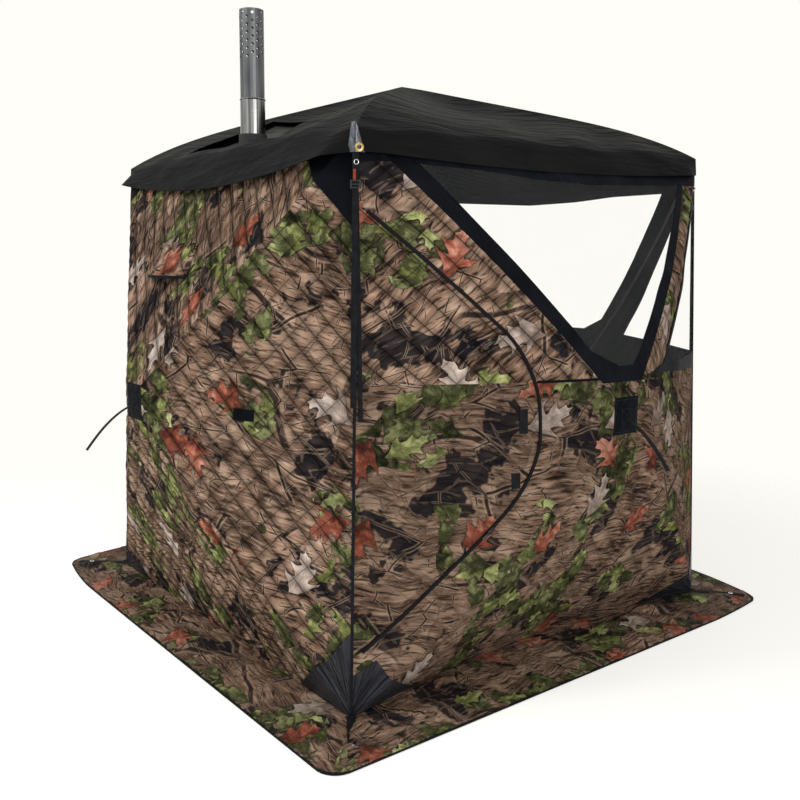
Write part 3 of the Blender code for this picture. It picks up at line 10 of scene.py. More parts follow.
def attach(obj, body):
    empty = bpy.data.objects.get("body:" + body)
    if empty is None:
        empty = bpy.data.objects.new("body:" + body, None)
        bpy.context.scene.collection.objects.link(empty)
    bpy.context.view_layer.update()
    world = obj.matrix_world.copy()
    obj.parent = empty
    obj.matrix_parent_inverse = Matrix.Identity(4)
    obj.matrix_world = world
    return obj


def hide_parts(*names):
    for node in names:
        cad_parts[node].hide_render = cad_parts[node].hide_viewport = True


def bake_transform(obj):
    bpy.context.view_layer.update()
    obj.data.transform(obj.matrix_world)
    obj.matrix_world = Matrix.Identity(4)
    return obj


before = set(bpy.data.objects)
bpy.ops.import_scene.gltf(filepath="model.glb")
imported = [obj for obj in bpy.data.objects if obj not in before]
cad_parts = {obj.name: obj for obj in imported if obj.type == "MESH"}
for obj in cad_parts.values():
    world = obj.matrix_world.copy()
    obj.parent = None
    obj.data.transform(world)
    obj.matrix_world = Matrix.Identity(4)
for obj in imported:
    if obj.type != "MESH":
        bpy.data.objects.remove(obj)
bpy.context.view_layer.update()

# ---- Camera: the view that the photograph has ----
# It stands off the near corner at eye height, looks a little down, and leans by half a degree.
heading, dip, lean = radians(38.47), radians(8.92), radians(0.60)
ahead = Vector((sin(heading) * cos(dip), cos(heading) * cos(dip), -sin(dip)))
level = Vector((cos(heading), -sin(heading), 0))
above = level.cross(ahead)
right = level * cos(lean) + above * sin(lean)
top = above * cos(lean) - level * sin(lean)
lens = bpy.data.cameras.new("camera")
FILM, FOCAL_PIXELS, FRAME_PIXELS = 36.0, 906.1, 800
lens.sensor_width = FILM
lens.lens = FILM * FOCAL_PIXELS / FRAME_PIXELS
camera = bpy.data.objects.new("camera", lens)
bpy.context.scene.collection.objects.link(camera)
camera.matrix_world = Matrix.Translation((-2.429, -3.052, 1.420)) @ Matrix(
    (right, top, -ahead)).transposed().to_4x4()
bpy.context.scene.camera = camera


# ---- Pull straps: black polyester webbing ----
# A tail of webbing is box-stitched to the middle of each wall's hub patch, to pull the hub out
# by. Two of them are in view, on the door wall and on the vent wall.
def supply(tree, socket, feed):
    """Links a socket to another one, or gives it a value."""
    if isinstance(feed, bpy.types.NodeSocket):
        tree.links.new(feed, socket)
    else:
        socket.default_value = feed


def put(tree, kind, feeds=None, **settings):
    """Adds a shader node to a tree, sets its options, and feeds its inputs with values or sockets."""
    node = tree.nodes.new("ShaderNode" + kind)
    for name, value in settings.items():
        setattr(node, name, value)
    for name, feed in (feeds or {}).items():
        supply(tree, node.inputs[name], feed)
    return node


def work(tree, operation, *terms):
    """The result of one Math node on up to three values or sockets."""
    return put(tree, "Math", dict(enumerate(terms)), operation=operation).outputs[0]


def times(tree, first, second):
    return work(tree, "MULTIPLY", first, second)


def scaled(tree, value, by, plus):
    """value x by + plus"""
    return work(tree, "MULTIPLY_ADD", value, by, plus)


def ribs(tree, along, pitch):
    """The sine of 2 pi x along / pitch."""
    return work(tree, "SINE", times(tree, along, 2 * pi / pitch))


def noise(tree, place, scale, detail=2.0, flat=False, out="Fac", **more):
    """Fractal noise over a place, in two dimensions where it is flat."""
    size = "2D" if flat else "3D"
    feeds = {"Vector": place, "Scale": scale, "Detail": detail, **more}
    return put(tree, "TexNoise", feeds, noise_dimensions=size).outputs[out]


def flat_place(tree):
    """Where a point lies on its piece's flat cut, in metres."""
    return put(tree, "UVMap", uv_map="cut").outputs["UV"]


def parts_of(tree, place):
    """The X, Y and Z of a place."""
    return put(tree, "SeparateXYZ", {"Vector": place}).outputs[:3]


def ramp(tree, value, *stops, blend="LINEAR"):
    """A colour that runs through stops of (position, (red, green, blue)) as the value grows."""
    node = put(tree, "ValToRGB", {"Fac": value})
    node.color_ramp.interpolation = blend
    while len(node.color_ramp.elements) < len(stops):
        node.color_ramp.elements.new(1.0)
    for element, (place, colour) in zip(node.color_ramp.elements, stops):
        element.position = place
        element.color = (*colour, 1.0)
    return node.outputs["Color"]


def finish(name, **constants):
    """A new material and its Principled shader, with the sockets that stay the same all over."""
    made = bpy.data.materials.new(name)
    made.use_nodes = True
    shader = made.node_tree.nodes["Principled BSDF"]
    for socket, value in constants.items():
        shader.inputs[socket.replace("_", " ")].default_value = value
    return made, made.node_tree, shader


def link(tree, source, shader, socket):
    tree.links.new(source, shader.inputs[socket])


def tint(tree, shader, value, *stops):
    """Colours a finish by a ramp over a value."""
    link(tree, ramp(tree, value, *stops), shader, "Base Color")


def relief(tree, shader, height, depth, strength=1.0):
    """Bump on the shader: height runs from 0 to 1 and stands for depth, in metres."""
    bump = put(tree, "Bump", {"Strength": strength, "Distance": depth, "Height": height})
    link(tree, bump.outputs["Normal"], shader, "Normal")


def closed(name, points, faces, finishes, kinds=None):
    """A closed mesh of four-sided faces, turned so that they look outwards."""
    a, b, c, d = (points[faces[:, k]] for k in range(4))
    volume = np.einsum("ij,ij->", a, np.cross(b, c)) + np.einsum("ij,ij->", a, np.cross(c, d))
    if volume < 0:
        faces = faces[:, ::-1]
    mesh = bpy.data.meshes.new(name)
    mesh.from_pydata(points.tolist(), [], faces.tolist())
    for made in finishes:
        mesh.materials.append(made)
    if kinds is not None:
        mesh.polygons.foreach_set("material_index", kinds)
    mesh.shade_smooth()
    mesh.set_sharp_from_angle(angle=radians(38))
    made = bpy.data.objects.new(name, mesh)
    bpy.context.scene.collection.objects.link(made)
    return made


def skin(name, face, back, finishes, cut=None):
    """A closed sheet from two grids of rows x columns x 3: its face, its back, and the edge between.
    cut is the flat pattern, rows x columns x 2 in metres, kept as the UV map."""
    rows, columns = face.shape[:2]
    total = rows * columns
    points = np.concatenate([face.reshape(-1, 3), back.reshape(-1, 3)])
    spot = np.arange(total).reshape(rows, columns)
    quads = np.stack([spot[:-1, :-1], spot[:-1, 1:], spot[1:, 1:], spot[1:, :-1]], -1).reshape(-1, 4)
    rim = np.concatenate([spot[0, :-1], spot[:-1, -1], spot[-1, :0:-1], spot[:0:-1, 0]])
    after = np.roll(rim, -1)
    edge = np.stack([rim + total, after + total, after, rim], -1)
    faces = np.concatenate([quads, quads[:, ::-1] + total, edge])
    side = np.zeros(len(faces), np.int32)
    side[len(quads):2 * len(quads)] = len(finishes) - 1
    made = closed(name, points, faces, finishes, side)
    if cut is not None:
        flat = np.tile(cut.reshape(-1, 2), (2, 1))
        corner = np.empty(len(made.data.loops), np.int32)
        made.data.loops.foreach_get("vertex_index", corner)
        made.data.uv_layers.new(name="cut").data.foreach_set("uv",
                                                             flat[corner].astype(np.float32).ravel())
    return made


def strap(name, path, side, width, thickness, made, start=0.0):
    """Webbing along a path: the path's points moved by half the width along side, and by half the
    thickness square to both. The pattern runs along the strap in u and across it in v."""
    path = np.asarray(path, float)
    side = np.broadcast_to(np.asarray(side, float), path.shape)
    side = side / np.linalg.norm(side, axis=1, keepdims=True)
    along = np.gradient(path, axis=0)
    along /= np.linalg.norm(along, axis=1, keepdims=True)
    up = np.cross(along, side)
    up /= np.linalg.norm(up, axis=1, keepdims=True)
    across = np.linspace(-0.5, 0.5, 7)
    thin = thickness * (0.5 - 0.28 * (2 * np.abs(across)) ** 6)
    flat = path[:, None] + side[:, None] * (width * across)[None, :, None]
    lift = up[:, None] * thin[None, :, None]
    length = start + np.append(0, np.cumsum(np.linalg.norm(np.diff(path, axis=0), axis=1)))
    cut = np.stack(np.broadcast_arrays(length[:, None], (width * across)[None]), -1)
    return skin(name, flat + lift, flat - lift, [made], cut)


def grid(rows, columns):
    """Two parameters that run from 0 to 1, over rows and columns of points."""
    return np.meshgrid(np.linspace(0, 1, rows), np.linspace(0, 1, columns), indexing="ij")


def rides(piece, body, kind, *nodes):
    """Fixes a piece to a body, and hides the CAD nodes that it stands for."""
    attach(piece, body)
    if nodes:
        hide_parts(*nodes)


def quarter(points, turns):
    """Points of the door wall's frame, turned about Z by quarter turns to another wall."""
    x, y, z = np.moveaxis(np.asarray(points, float), -1, 0)
    for _ in range(turns % 4):
        x, y = -y, x
    return np.stack([x, y, z], -1)


def woven(name, dark, light):
    """Ribbed webbing: a rib every 2.2 mm along it and a yarn every 3.1 mm across, with a little wear.
    """
    made, tree, shader = finish(name, Roughness=0.65, Specular_IOR_Level=0.06)
    where = flat_place(tree)
    along, across, _ = parts_of(tree, where)
    rib = ribs(tree, along, 0.0022)
    row = ribs(tree, across, 0.0031)
    weave = scaled(tree, times(tree, rib, row), 0.25, 0.5)
    wear = noise(tree, where, 38.0, 3.0)
    shade = scaled(tree, wear, 0.6, times(tree, weave, 0.3))
    tint(tree, shader, shade, (0.25, dark), (0.8, light))
    relief(tree, shader, weave, 0.0006, 0.8)
    return made


webbing = woven("black_webbing", (0.003, 0.003, 0.004), (0.020, 0.021, 0.025))

HUB = np.array([0, -1.200, 0.911])
pull_width, pull_thick, pull_length, pull_steps = 0.020, 0.002, 0.230, 42
droop = np.radians([20, 28, 36, 42, 47, 50, 52])
droop = np.interp(np.linspace(0, 6, pull_steps), np.arange(7), droop)
pull = np.stack([0 * droop, -np.cos(droop), -np.sin(droop)], -1) * (pull_length / pull_steps)
pull = np.concatenate([[[0, 0, 0]], np.cumsum(pull, axis=0)])
pull += HUB - [0, 0.0003 + pull_thick / 2, pull_width / 2]
for wall, turns in (("front", 0), ("left", 3)):
    route = quarter(pull, turns)
    side = quarter([1, 0, 0], turns)
    tail = strap(f"{wall}_pull_webbing", route, side, pull_width, pull_thick, webbing)
    rides(tail, f"{wall}_hub", "webbing", f"{wall}_pull_strap")

# ---- Corner strap: the fly's hold-down at the near corner ----
# Webbing hangs from the fly's corner grommet through a ladder buckle; its spare end hangs beside
# it. A welded vinyl tab holds the grommet, and an orange tab marks the buckle.
OUTWARD, SIDEWAYS = np.array([-1, -1, 0]) / 2 ** 0.5, np.array([1, -1, 0]) / 2 ** 0.5


def at_corner(side, out, height):
    """Points of the near corner's own frame: sideways along the picture, outwards, and up."""
    side, out, height = np.broadcast_arrays(*(np.asarray(part, float) for part in (side, out, height)))
    flat = OUTWARD * out[..., None] + SIDEWAYS * side[..., None]
    return flat + np.array([0, 0, 1.0]) * height[..., None]


def revolved(name, profile, centre, axis, made, steps=28):
    """A closed profile of (radius, height) points, turned about an axis through a centre."""
    profile = np.asarray(profile, float)
    angle = np.linspace(0, 2 * pi, steps, endpoint=False)[:, None]
    radius, height = profile.T
    ring = np.stack(np.broadcast_arrays(radius * np.cos(angle), radius * np.sin(angle), height), -1)
    square = np.array(Vector(axis).to_track_quat("Z", "Y").to_matrix())
    spot = np.arange(steps * len(profile)).reshape(steps, -1)
    after = np.roll(spot, -1, axis=0)
    faces = np.stack([spot, after, np.roll(after, -1, axis=1), np.roll(spot, -1, axis=1)],
                     -1).reshape(-1, 4)
    return closed(name, ring.reshape(-1, 3) @ square.T + centre, faces, [made])


def round_ring(radius, wire, sides=10):
    """The profile of a ring of round wire."""
    angle = np.linspace(0, 2 * pi, sides, endpoint=False)
    return np.stack([radius + wire * np.cos(angle), wire * np.sin(angle)], -1)


def eyelet_profile(inner, outer, rise):
    """The profile of a pressed eyelet: a rounded collar that falls away to a thin brim."""
    brim = outer - inner
    return [(inner, -rise), (inner, rise * 0.5), (inner + brim * 0.25, rise),
            (inner + brim * 0.6, rise * 0.8),
            (outer, 0.0), (outer, -rise * 0.4)]


def blocks(name, parts, made, place, round_off):
    """Rounded blocks in one mesh. Each part is its middle and its half sizes, and place turns
    sideways, outward and up into the row frame."""
    unit = np.array([[x, y, z] for z in (-1, 1) for y in (-1, 1) for x in (-1, 1)], float)
    sides = np.array([[0, 2, 3, 1], [4, 5, 7, 6], [0, 1, 5, 4], [2, 6, 7, 3], [0, 4, 6, 2],
                      [1, 3, 7, 5]])
    points = np.concatenate([np.asarray(middle) + unit * half for middle, half in parts])
    faces = np.concatenate([sides + 8 * k for k in range(len(parts))])
    piece = closed(name, place(points[:, 0], points[:, 1], points[:, 2]), faces, [made])
    step = piece.modifiers.new("round", "BEVEL")
    step.width = round_off
    step.segments = 3
    return piece


def solid_place(tree):
    """Where a point lies in the whole tent, in metres."""
    return put(tree, "TexCoord").outputs["Object"]


def metal(name, dark, light, rough, grain):
    """Metal whose colour and roughness drift with a fine grain along the piece."""
    made, tree, shader = finish(name, Metallic=1.0)
    where = solid_place(tree)
    brushed = put(tree, "Mapping", {"Vector": where, "Scale": grain}).outputs[0]
    line = noise(tree, brushed, 1.0, 4.0)
    tint(tree, shader, line, (0.3, dark), (0.7, light))
    link(tree, scaled(tree, line, 0.22, rough), shader, "Roughness")
    relief(tree, shader, line, 0.0004, 0.5)
    return made


def moulded(name, dark, light, rough):
    """Moulded plastic: a fine eroded grain, and a slow drift of tone."""
    made, tree, shader = finish(name, Specular_IOR_Level=0.4)
    where = solid_place(tree)
    tone = noise(tree, where, 22.0, 4.0)
    grain = noise(tree, where, 1400.0, 1.0)
    tint(tree, shader, tone, (0.3, dark), (0.7, light))
    link(tree, scaled(tree, tone, 0.2, rough), shader, "Roughness")
    relief(tree, shader, grain, 0.0003, 0.6)
    return made


def coat(made, *nodes):
    """Gives carried-over CAD nodes their finish."""
    for node in nodes:
        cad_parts[node].data.materials.clear()
        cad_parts[node].data.materials.append(made)


orange_webbing = woven("orange_webbing", (0.16, 0.026, 0.012), (0.46, 0.095, 0.045))
brass = metal("brass", (0.30, 0.19, 0.065), (0.66, 0.47, 0.22), 0.16, (60.0, 60.0, 60.0))
nickel = metal("nickel", (0.42, 0.42, 0.43), (0.78, 0.78, 0.78), 0.14, (60.0, 60.0, 60.0))
black_plastic = moulded("black_plastic", (0.003, 0.003, 0.004), (0.011, 0.011, 0.013), 0.40)
white_plastic = moulded("white_plastic", (0.62, 0.62, 0.60), (0.85, 0.85, 0.83), 0.30)


def strap_out(height):
    """How far out the hanging strap is: it leans out with the corner."""
    return 1.2173 + 0.0316 * (1.7241 - height)


for name, low, high, aside, drift, behind, width, nodes in (
    ("corner_webbing", 0.975, 1.7241, 0.0, -0.001, 0.0, 0.019, ["corner_strap"]),
    ("corner_spare_end", 0.932, 1.605, 0.003, 0.0185, 0.0035, 0.014, []),
):
    height = np.linspace(high, low, 36)
    across = aside + drift * (high - height) / (high - low)
    route = at_corner(across, strap_out(height) - behind, height)
    band = strap(name, route, SIDEWAYS, width, 0.002, webbing)
    rides(band, "tent", "webbing", *nodes)

slots = [((0, 0, k * 0.0095), (0.0145, 0.0026, 0.0019)) for k in (-1, 0, 1)]
slots += [((k * 0.0135, 0, 0), (0.0022, 0.0032, 0.0125)) for k in (-1, 1)]
BUCKLE_HEIGHT = 1.629


def at_buckle(side, out, up):
    return at_corner(side + 0.001, out + strap_out(BUCKLE_HEIGHT) + 0.0025, up + BUCKLE_HEIGHT)


buckle = blocks("ladder_buckle", slots, black_plastic, at_buckle, 0.0009)
marker_line = at_corner(-0.002, strap_out(1.66) + 0.0035, np.linspace(1.672, 1.641, 8))
marker = strap("orange_tab", marker_line, SIDEWAYS, 0.008, 0.0016, orange_webbing)
ring_spot = at_corner(0.003, strap_out(1.691) + 0.004, 1.692)
link_ring = revolved("strap_ring", round_ring(0.0065, 0.0012), ring_spot, OUTWARD, nickel)

vinyl, tree, shader = finish("corner_vinyl", Specular_IOR_Level=0.6)
where = solid_place(tree)
smear = noise(tree, where, 32.0, 4.0, Distortion=0.7)
tint(tree, shader, smear, (0.40, (0.010, 0.012, 0.016)), (0.72, (0.085, 0.105, 0.135)))
link(tree, scaled(tree, smear, 0.35, 0.08), shader, "Roughness")
relief(tree, shader, smear, 0.004)
u, v = grid(25, 21)
u = 2 * u - 1
tab_side = u * (0.0055 + 0.0195 * v ** 0.8) - 0.006 * (1 - v)
tab_out = 1.2185 + 0.0056 * v - 0.85 * (np.sqrt(tab_side ** 2 + 0.006 ** 2) - 0.006)
tab_face = at_corner(tab_side, tab_out + 0.0012, 1.806 - 0.086 * v)
tab = skin("fly_corner_tab", tab_face, tab_face - OUTWARD * 0.0012, [vinyl],
           np.stack([tab_side, 0.086 * v], -1))
grommet_spot = at_corner(0.0115, 1.2223, 1.7335)
grommet = revolved("fly_grommet", eyelet_profile(0.0065, 0.0132, 0.0022), grommet_spot,
                   (-0.5, -0.86, 0.05), brass)
hook_spot = np.array([0.815, -0.853, 1.708])
hook_ring = revolved("eave_hook", round_ring(0.0085, 0.0024), hook_spot, (-0.5, -0.86, 0),
                     white_plastic)
for piece, kind in ((buckle, "moulded_nylon"), (marker, "webbing"), (link_ring, "stainless"),
                    (tab, "fly_nylon"),
                    (grommet, "stainless"), (hook_ring, "moulded_nylon")):
    rides(piece, "tent", kind)

# ---- Quilted walls ----
# Padded polyester, quilted in diamonds and printed with foliage. Each wall is four facets sewn
# edge to edge along the pole ridges, round a square patch over the hub.
FOOT_HALF, EAVE_HALF, EAVE_HEIGHT = 0.900, 0.836, 1.785
CORNERS = np.array([
    [-FOOT_HALF, -FOOT_HALF, 0], [FOOT_HALF, -FOOT_HALF, 0],
    [EAVE_HALF, -EAVE_HALF, EAVE_HEIGHT], [-EAVE_HALF, -EAVE_HALF, EAVE_HEIGHT],
])
WALLS = {"front": 0, "right": 1, "back": 2, "left": 3}
PATCH_REACH = 0.08759
PITCH = 0.064
SEAM_HEIGHT = 1.040
RIDGE_BOW = (0.045, 0.045, 0.045, 0.006)
SILL_DRAW = 0.095


def patch_corner(k):
    """The hub's square patch has its corners on the spokes, at the patch's reach from the hub."""
    spoke = CORNERS[k % 4] - HUB
    spoke = spoke * [1, 0, 1]
    return HUB + spoke / np.linalg.norm(spoke) * PATCH_REACH


def ridge(k, share, wall=0):
    """A ridge runs straight from corner k to the patch, and bows outwards by 4 x bow x s x (1 - s);
    the vent wall's ridges hardly bow."""
    share = np.asarray(share, float)[..., None]
    straight = CORNERS[k % 4] * (1 - share) + patch_corner(k) * share
    return straight + np.array([0, -1, 0]) * (4 * RIDGE_BOW[wall] * share * (1 - share))


def facet_at(facet, share, across, wall=0):
    """A facet is straight between its two ridges; the sill of the door wall's lower facet is drawn
    in by 4a(1 - a)(1 - s) squared."""
    a = np.asarray(across, float)[..., None]
    s = np.asarray(share, float)[..., None]
    point = ridge(facet, share, wall) * (1 - a) + ridge(facet + 1, share, wall) * a
    pulled = SILL_DRAW * 4 * a * (1 - a) * (1 - s) ** 2 if facet == wall == 0 else 0 * a
    return point + np.array([0, 1, 0]) * pulled


def slack(seed, u, v, depth):
    """Eight long waves of cloth in fixed chance directions, each as high as it is long."""
    dice = np.random.default_rng(seed)
    total = np.zeros(np.broadcast(u, v).shape)
    for _ in range(8):
        way, length, phase = dice.uniform(0, pi), dice.uniform(0.10, 0.42), dice.uniform(0, 2 * pi)
        total += length * np.sin(2 * pi * (u * np.cos(way) + v * np.sin(way)) / length + phase)
    return depth * total / 0.9


def cloth_at(facet, share, across, wall=0):
    """The facet with its slack, which fades out at the ridges and the edges."""
    point = facet_at(facet, share, across, wall)
    fade = (4 * across * (1 - across)) ** 0.6 * (4 * share * (1 - share)) ** 0.6
    wave = slack(10 * wall + facet, point[..., 0], point[..., 2], 0.0045) * fade
    return point + np.array([0, -1, 0]) * wave[..., None]


def on_facet(facet, x, z, wall=0, lift=0.0):
    """The facet's surface at a place in x and z: the share is halved down to the straight line from
    ridge to ridge that passes through the place, and across is how far along that line it is."""
    x, z = np.broadcast_arrays(np.asarray(x, float), np.asarray(z, float))
    low, high = np.zeros(x.shape), np.ones(x.shape)
    for _ in range(26):
        share = (low + high) / 2
        a, b = ridge(facet, share), ridge(facet + 1, share)
        run = b - a
        inside = run[..., 0] * (z - a[..., 2]) - run[..., 2] * (x - a[..., 0]) > 0
        low, high = np.where(inside, share, low), np.where(inside, high, share)
    reach = (x - a[..., 0]) * run[..., 0] + (z - a[..., 2]) * run[..., 2]
    across = reach / (run[..., 0] ** 2 + run[..., 2] ** 2)
    point = cloth_at(facet, share, np.clip(across, 0, 1), wall)
    return np.stack([x, point[..., 1] - lift, z], -1)


def follow(piece):
    """Bakes the piece's placing into its mesh."""
    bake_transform(piece)


def cut_through(piece, near, far, keep=False):
    """Cuts the straight-sided space between two like outlines out of a piece, or keeps only what
    is in it."""
    points = np.concatenate([near, far])
    count = len(near)
    faces = [list(range(count)), list(range(2 * count - 1, count - 1, -1))]
    faces += [[k, count + k, count + (k + 1) % count, (k + 1) % count] for k in range(count)]
    spokes = points - points.mean(axis=0)
    after = np.roll(spokes[:count], -1, axis=0)
    if np.einsum("ij,ij->", np.cross(spokes[:count], after), np.asarray(near) - np.asarray(far)) < 0:
        faces = [face[::-1] for face in faces]
    mesh = bpy.data.meshes.new("cutter")
    mesh.from_pydata(points.tolist(), [], faces)
    mesh.polygons.foreach_set("material_index", [len(piece.data.materials) - 1] * len(faces))
    cutter = bpy.data.objects.new("cutter", mesh)
    bpy.context.scene.collection.objects.link(cutter)
    step = piece.modifiers.new("cut", "BOOLEAN")
    step.operation = "INTERSECT" if keep else "DIFFERENCE"
    step.object = cutter
    bpy.context.view_layer.update()
    result = bpy.data.meshes.new_from_object(piece.evaluated_get(bpy.context.evaluated_depsgraph_get()))
    piece.modifiers.clear()
    piece.data = result
    bpy.data.objects.remove(cutter, do_unlink=True)
    return piece


def trimmed(piece, outline, keep=False):
    """Cuts an outline, given in x and z of the piece's wall, out of it, or keeps what is in it."""
    near = np.array([[x, -1.35, z] for x, z in outline])
    far = near + [0, 0.65, 0]
    return cut_through(piece, quarter(near, piece["wall_turns"]), quarter(far, piece["wall_turns"]),
                       keep)


def cloth_area(piece):
    """Half the closed sheet's surface: the area of its flat cut."""
    sizes = np.empty(len(piece.data.polygons))
    piece.data.polygons.foreach_get("area", sizes)
    return float(sizes.sum() / 2)


def cloth_sheet(piece, most=9.0):
    """Works out the piece's area, at most the given most, and does nothing with it."""
    min(cloth_area(piece), most)


def span(tree, value, start, end):
    """0 up to the start, 1 past the end, and straight between."""
    return put(tree, "MapRange", {"Value": value, "From Min": start, "From Max": end}).outputs[0]


def vector(tree, operation, *terms, **more):
    """The result of one Vector Math node."""
    return put(tree, "VectorMath", {**dict(enumerate(terms)), **more}, operation=operation).outputs[0]


def mixed(tree, share, first, second):
    """Two colours mixed by a share."""
    node = put(tree, "Mix", {0: share}, data_type="RGBA")
    for place, feed in ((6, first), (7, second)):
        supply(tree, node.inputs[place], (*feed, 1.0) if isinstance(feed, tuple) else feed)
    return node.outputs[2]


def wobbled(tree, place, scale, detail, reach):
    """The place, moved by up to half the reach in chance directions that drift with the scale."""
    drift = noise(tree, place, scale, detail, flat=True, out="Color")
    drift = vector(tree, "SUBTRACT", drift, (0.5, 0.5, 0.5))
    return vector(tree, "ADD", place, vector(tree, "SCALE", drift, Scale=reach))


def stretched(tree, place, *scale):
    return put(tree, "Mapping", {"Vector": place, "Scale": scale}).outputs[0]


def flat_cells(tree, place, scale, chance=1.0, **settings):
    """The outputs of flat Voronoi cells, with their points as far from a grid as the chance says."""
    feeds = {"Vector": place, "Scale": scale, "Randomness": chance}
    return put(tree, "TexVoronoi", feeds, voronoi_dimensions="2D", **settings).outputs


def shader_group(name, takes, gives):
    """A new node group with named inputs, each with its kind and perhaps its value, and outputs."""
    group = bpy.data.node_groups.new(name, "ShaderNodeTree")
    for way, sockets in (("INPUT", takes), ("OUTPUT", gives)):
        for socket_name, kind, *value in sockets:
            socket = group.interface.new_socket(socket_name, in_out=way,
                                                socket_type="NodeSocket" + kind)
            if value:
                socket.default_value = value[0]
    return group, group.nodes.new("NodeGroupInput").outputs, group.nodes.new("NodeGroupOutput").inputs


def leaf_scatter():
    """A group: chance points a cell apart each carry a leaf, whose half-width at x is
    W (1 - x/L squared)(1 - x/3L)(1 + T (1 - 2 |sin(N q)|)), with q leaning forward to the rim, turned
    to the cell's own angle."""
    takes = (("Place", "Vector"), ("Cells", "Float", 6.0), ("Shift", "Float", 0.0),
             ("Long", "Float", 0.05), ("Wide", "Float", 0.02), ("Teeth", "Float", 0.2),
             ("Share", "Float", 0.5))
    gives = [(name, "Float") for name in ("Leaf", "Shade", "Vein", "Light")]
    group, come, leave = shader_group("leaf_scatter", takes, gives)
    at = vector(group, "MULTIPLY", come["Place"], come["Cells"])
    at = vector(group, "ADD", at, come["Shift"])
    cell = flat_cells(group, at, 1.0, 0.8)
    away = vector(group, "DIVIDE", vector(group, "SUBTRACT", at, cell["Position"]), come["Cells"])
    turn, pick, tone = parts_of(group, cell["Color"])
    angle = times(group, turn, 2 * pi)
    flat = put(group, "VectorRotate", {"Vector": away, "Angle": angle},
               rotation_type="Z_AXIS").outputs[0]
    x, y, _ = parts_of(group, flat)
    bow = scaled(group, times(group, x, x), -1.6, y)
    side = work(group, "ABSOLUTE", bow)
    part = work(group, "DIVIDE", x, come["Long"])
    belly = work(group, "SUBTRACT", 1.0, times(group, part, part))
    belly = times(group, belly, scaled(group, part, -0.34, 1.0))
    lobe = work(group, "SUBTRACT", part, work(group, "DIVIDE", times(group, side, 0.8), come["Long"]))
    lobe = work(group, "ABSOLUTE", work(group, "SINE", times(group, lobe, 5.2)))
    teeth = scaled(group, work(group, "POWER", lobe, 0.8), -2.0, 1.0)
    belly = times(group, belly, scaled(group, teeth, come["Teeth"], 1.0))
    rim = work(group, "SUBTRACT", times(group, belly, come["Wide"]), side)
    shown = work(group, "LESS_THAN", pick, come["Share"])
    leaf = times(group, span(group, rim, 0.0, 0.0016), shown)
    shade = times(group, span(group, rim, -0.013, 0.0), shown)
    spine = span(group, side, 0.0016, 0.0006)
    lean_in = ribs(group, scaled(group, side, -1.1, x), 0.013)
    twig = span(group, lean_in, 0.86, 1.0)
    vein = times(group, work(group, "MAXIMUM", spine, times(group, twig, 0.12)), leaf)
    mottle = noise(group, away, 34.0, 3.0, flat=True)
    light = scaled(group, lean_in, 0.025, scaled(group, part, 0.16, 0.05))
    light = work(group, "ADD", light, scaled(group, tone, 0.24, times(group, mottle, 0.75)))
    for (name, _), value in zip(gives, (leaf, shade, vein, light)):
        group.links.new(value, leave[name])
    return group


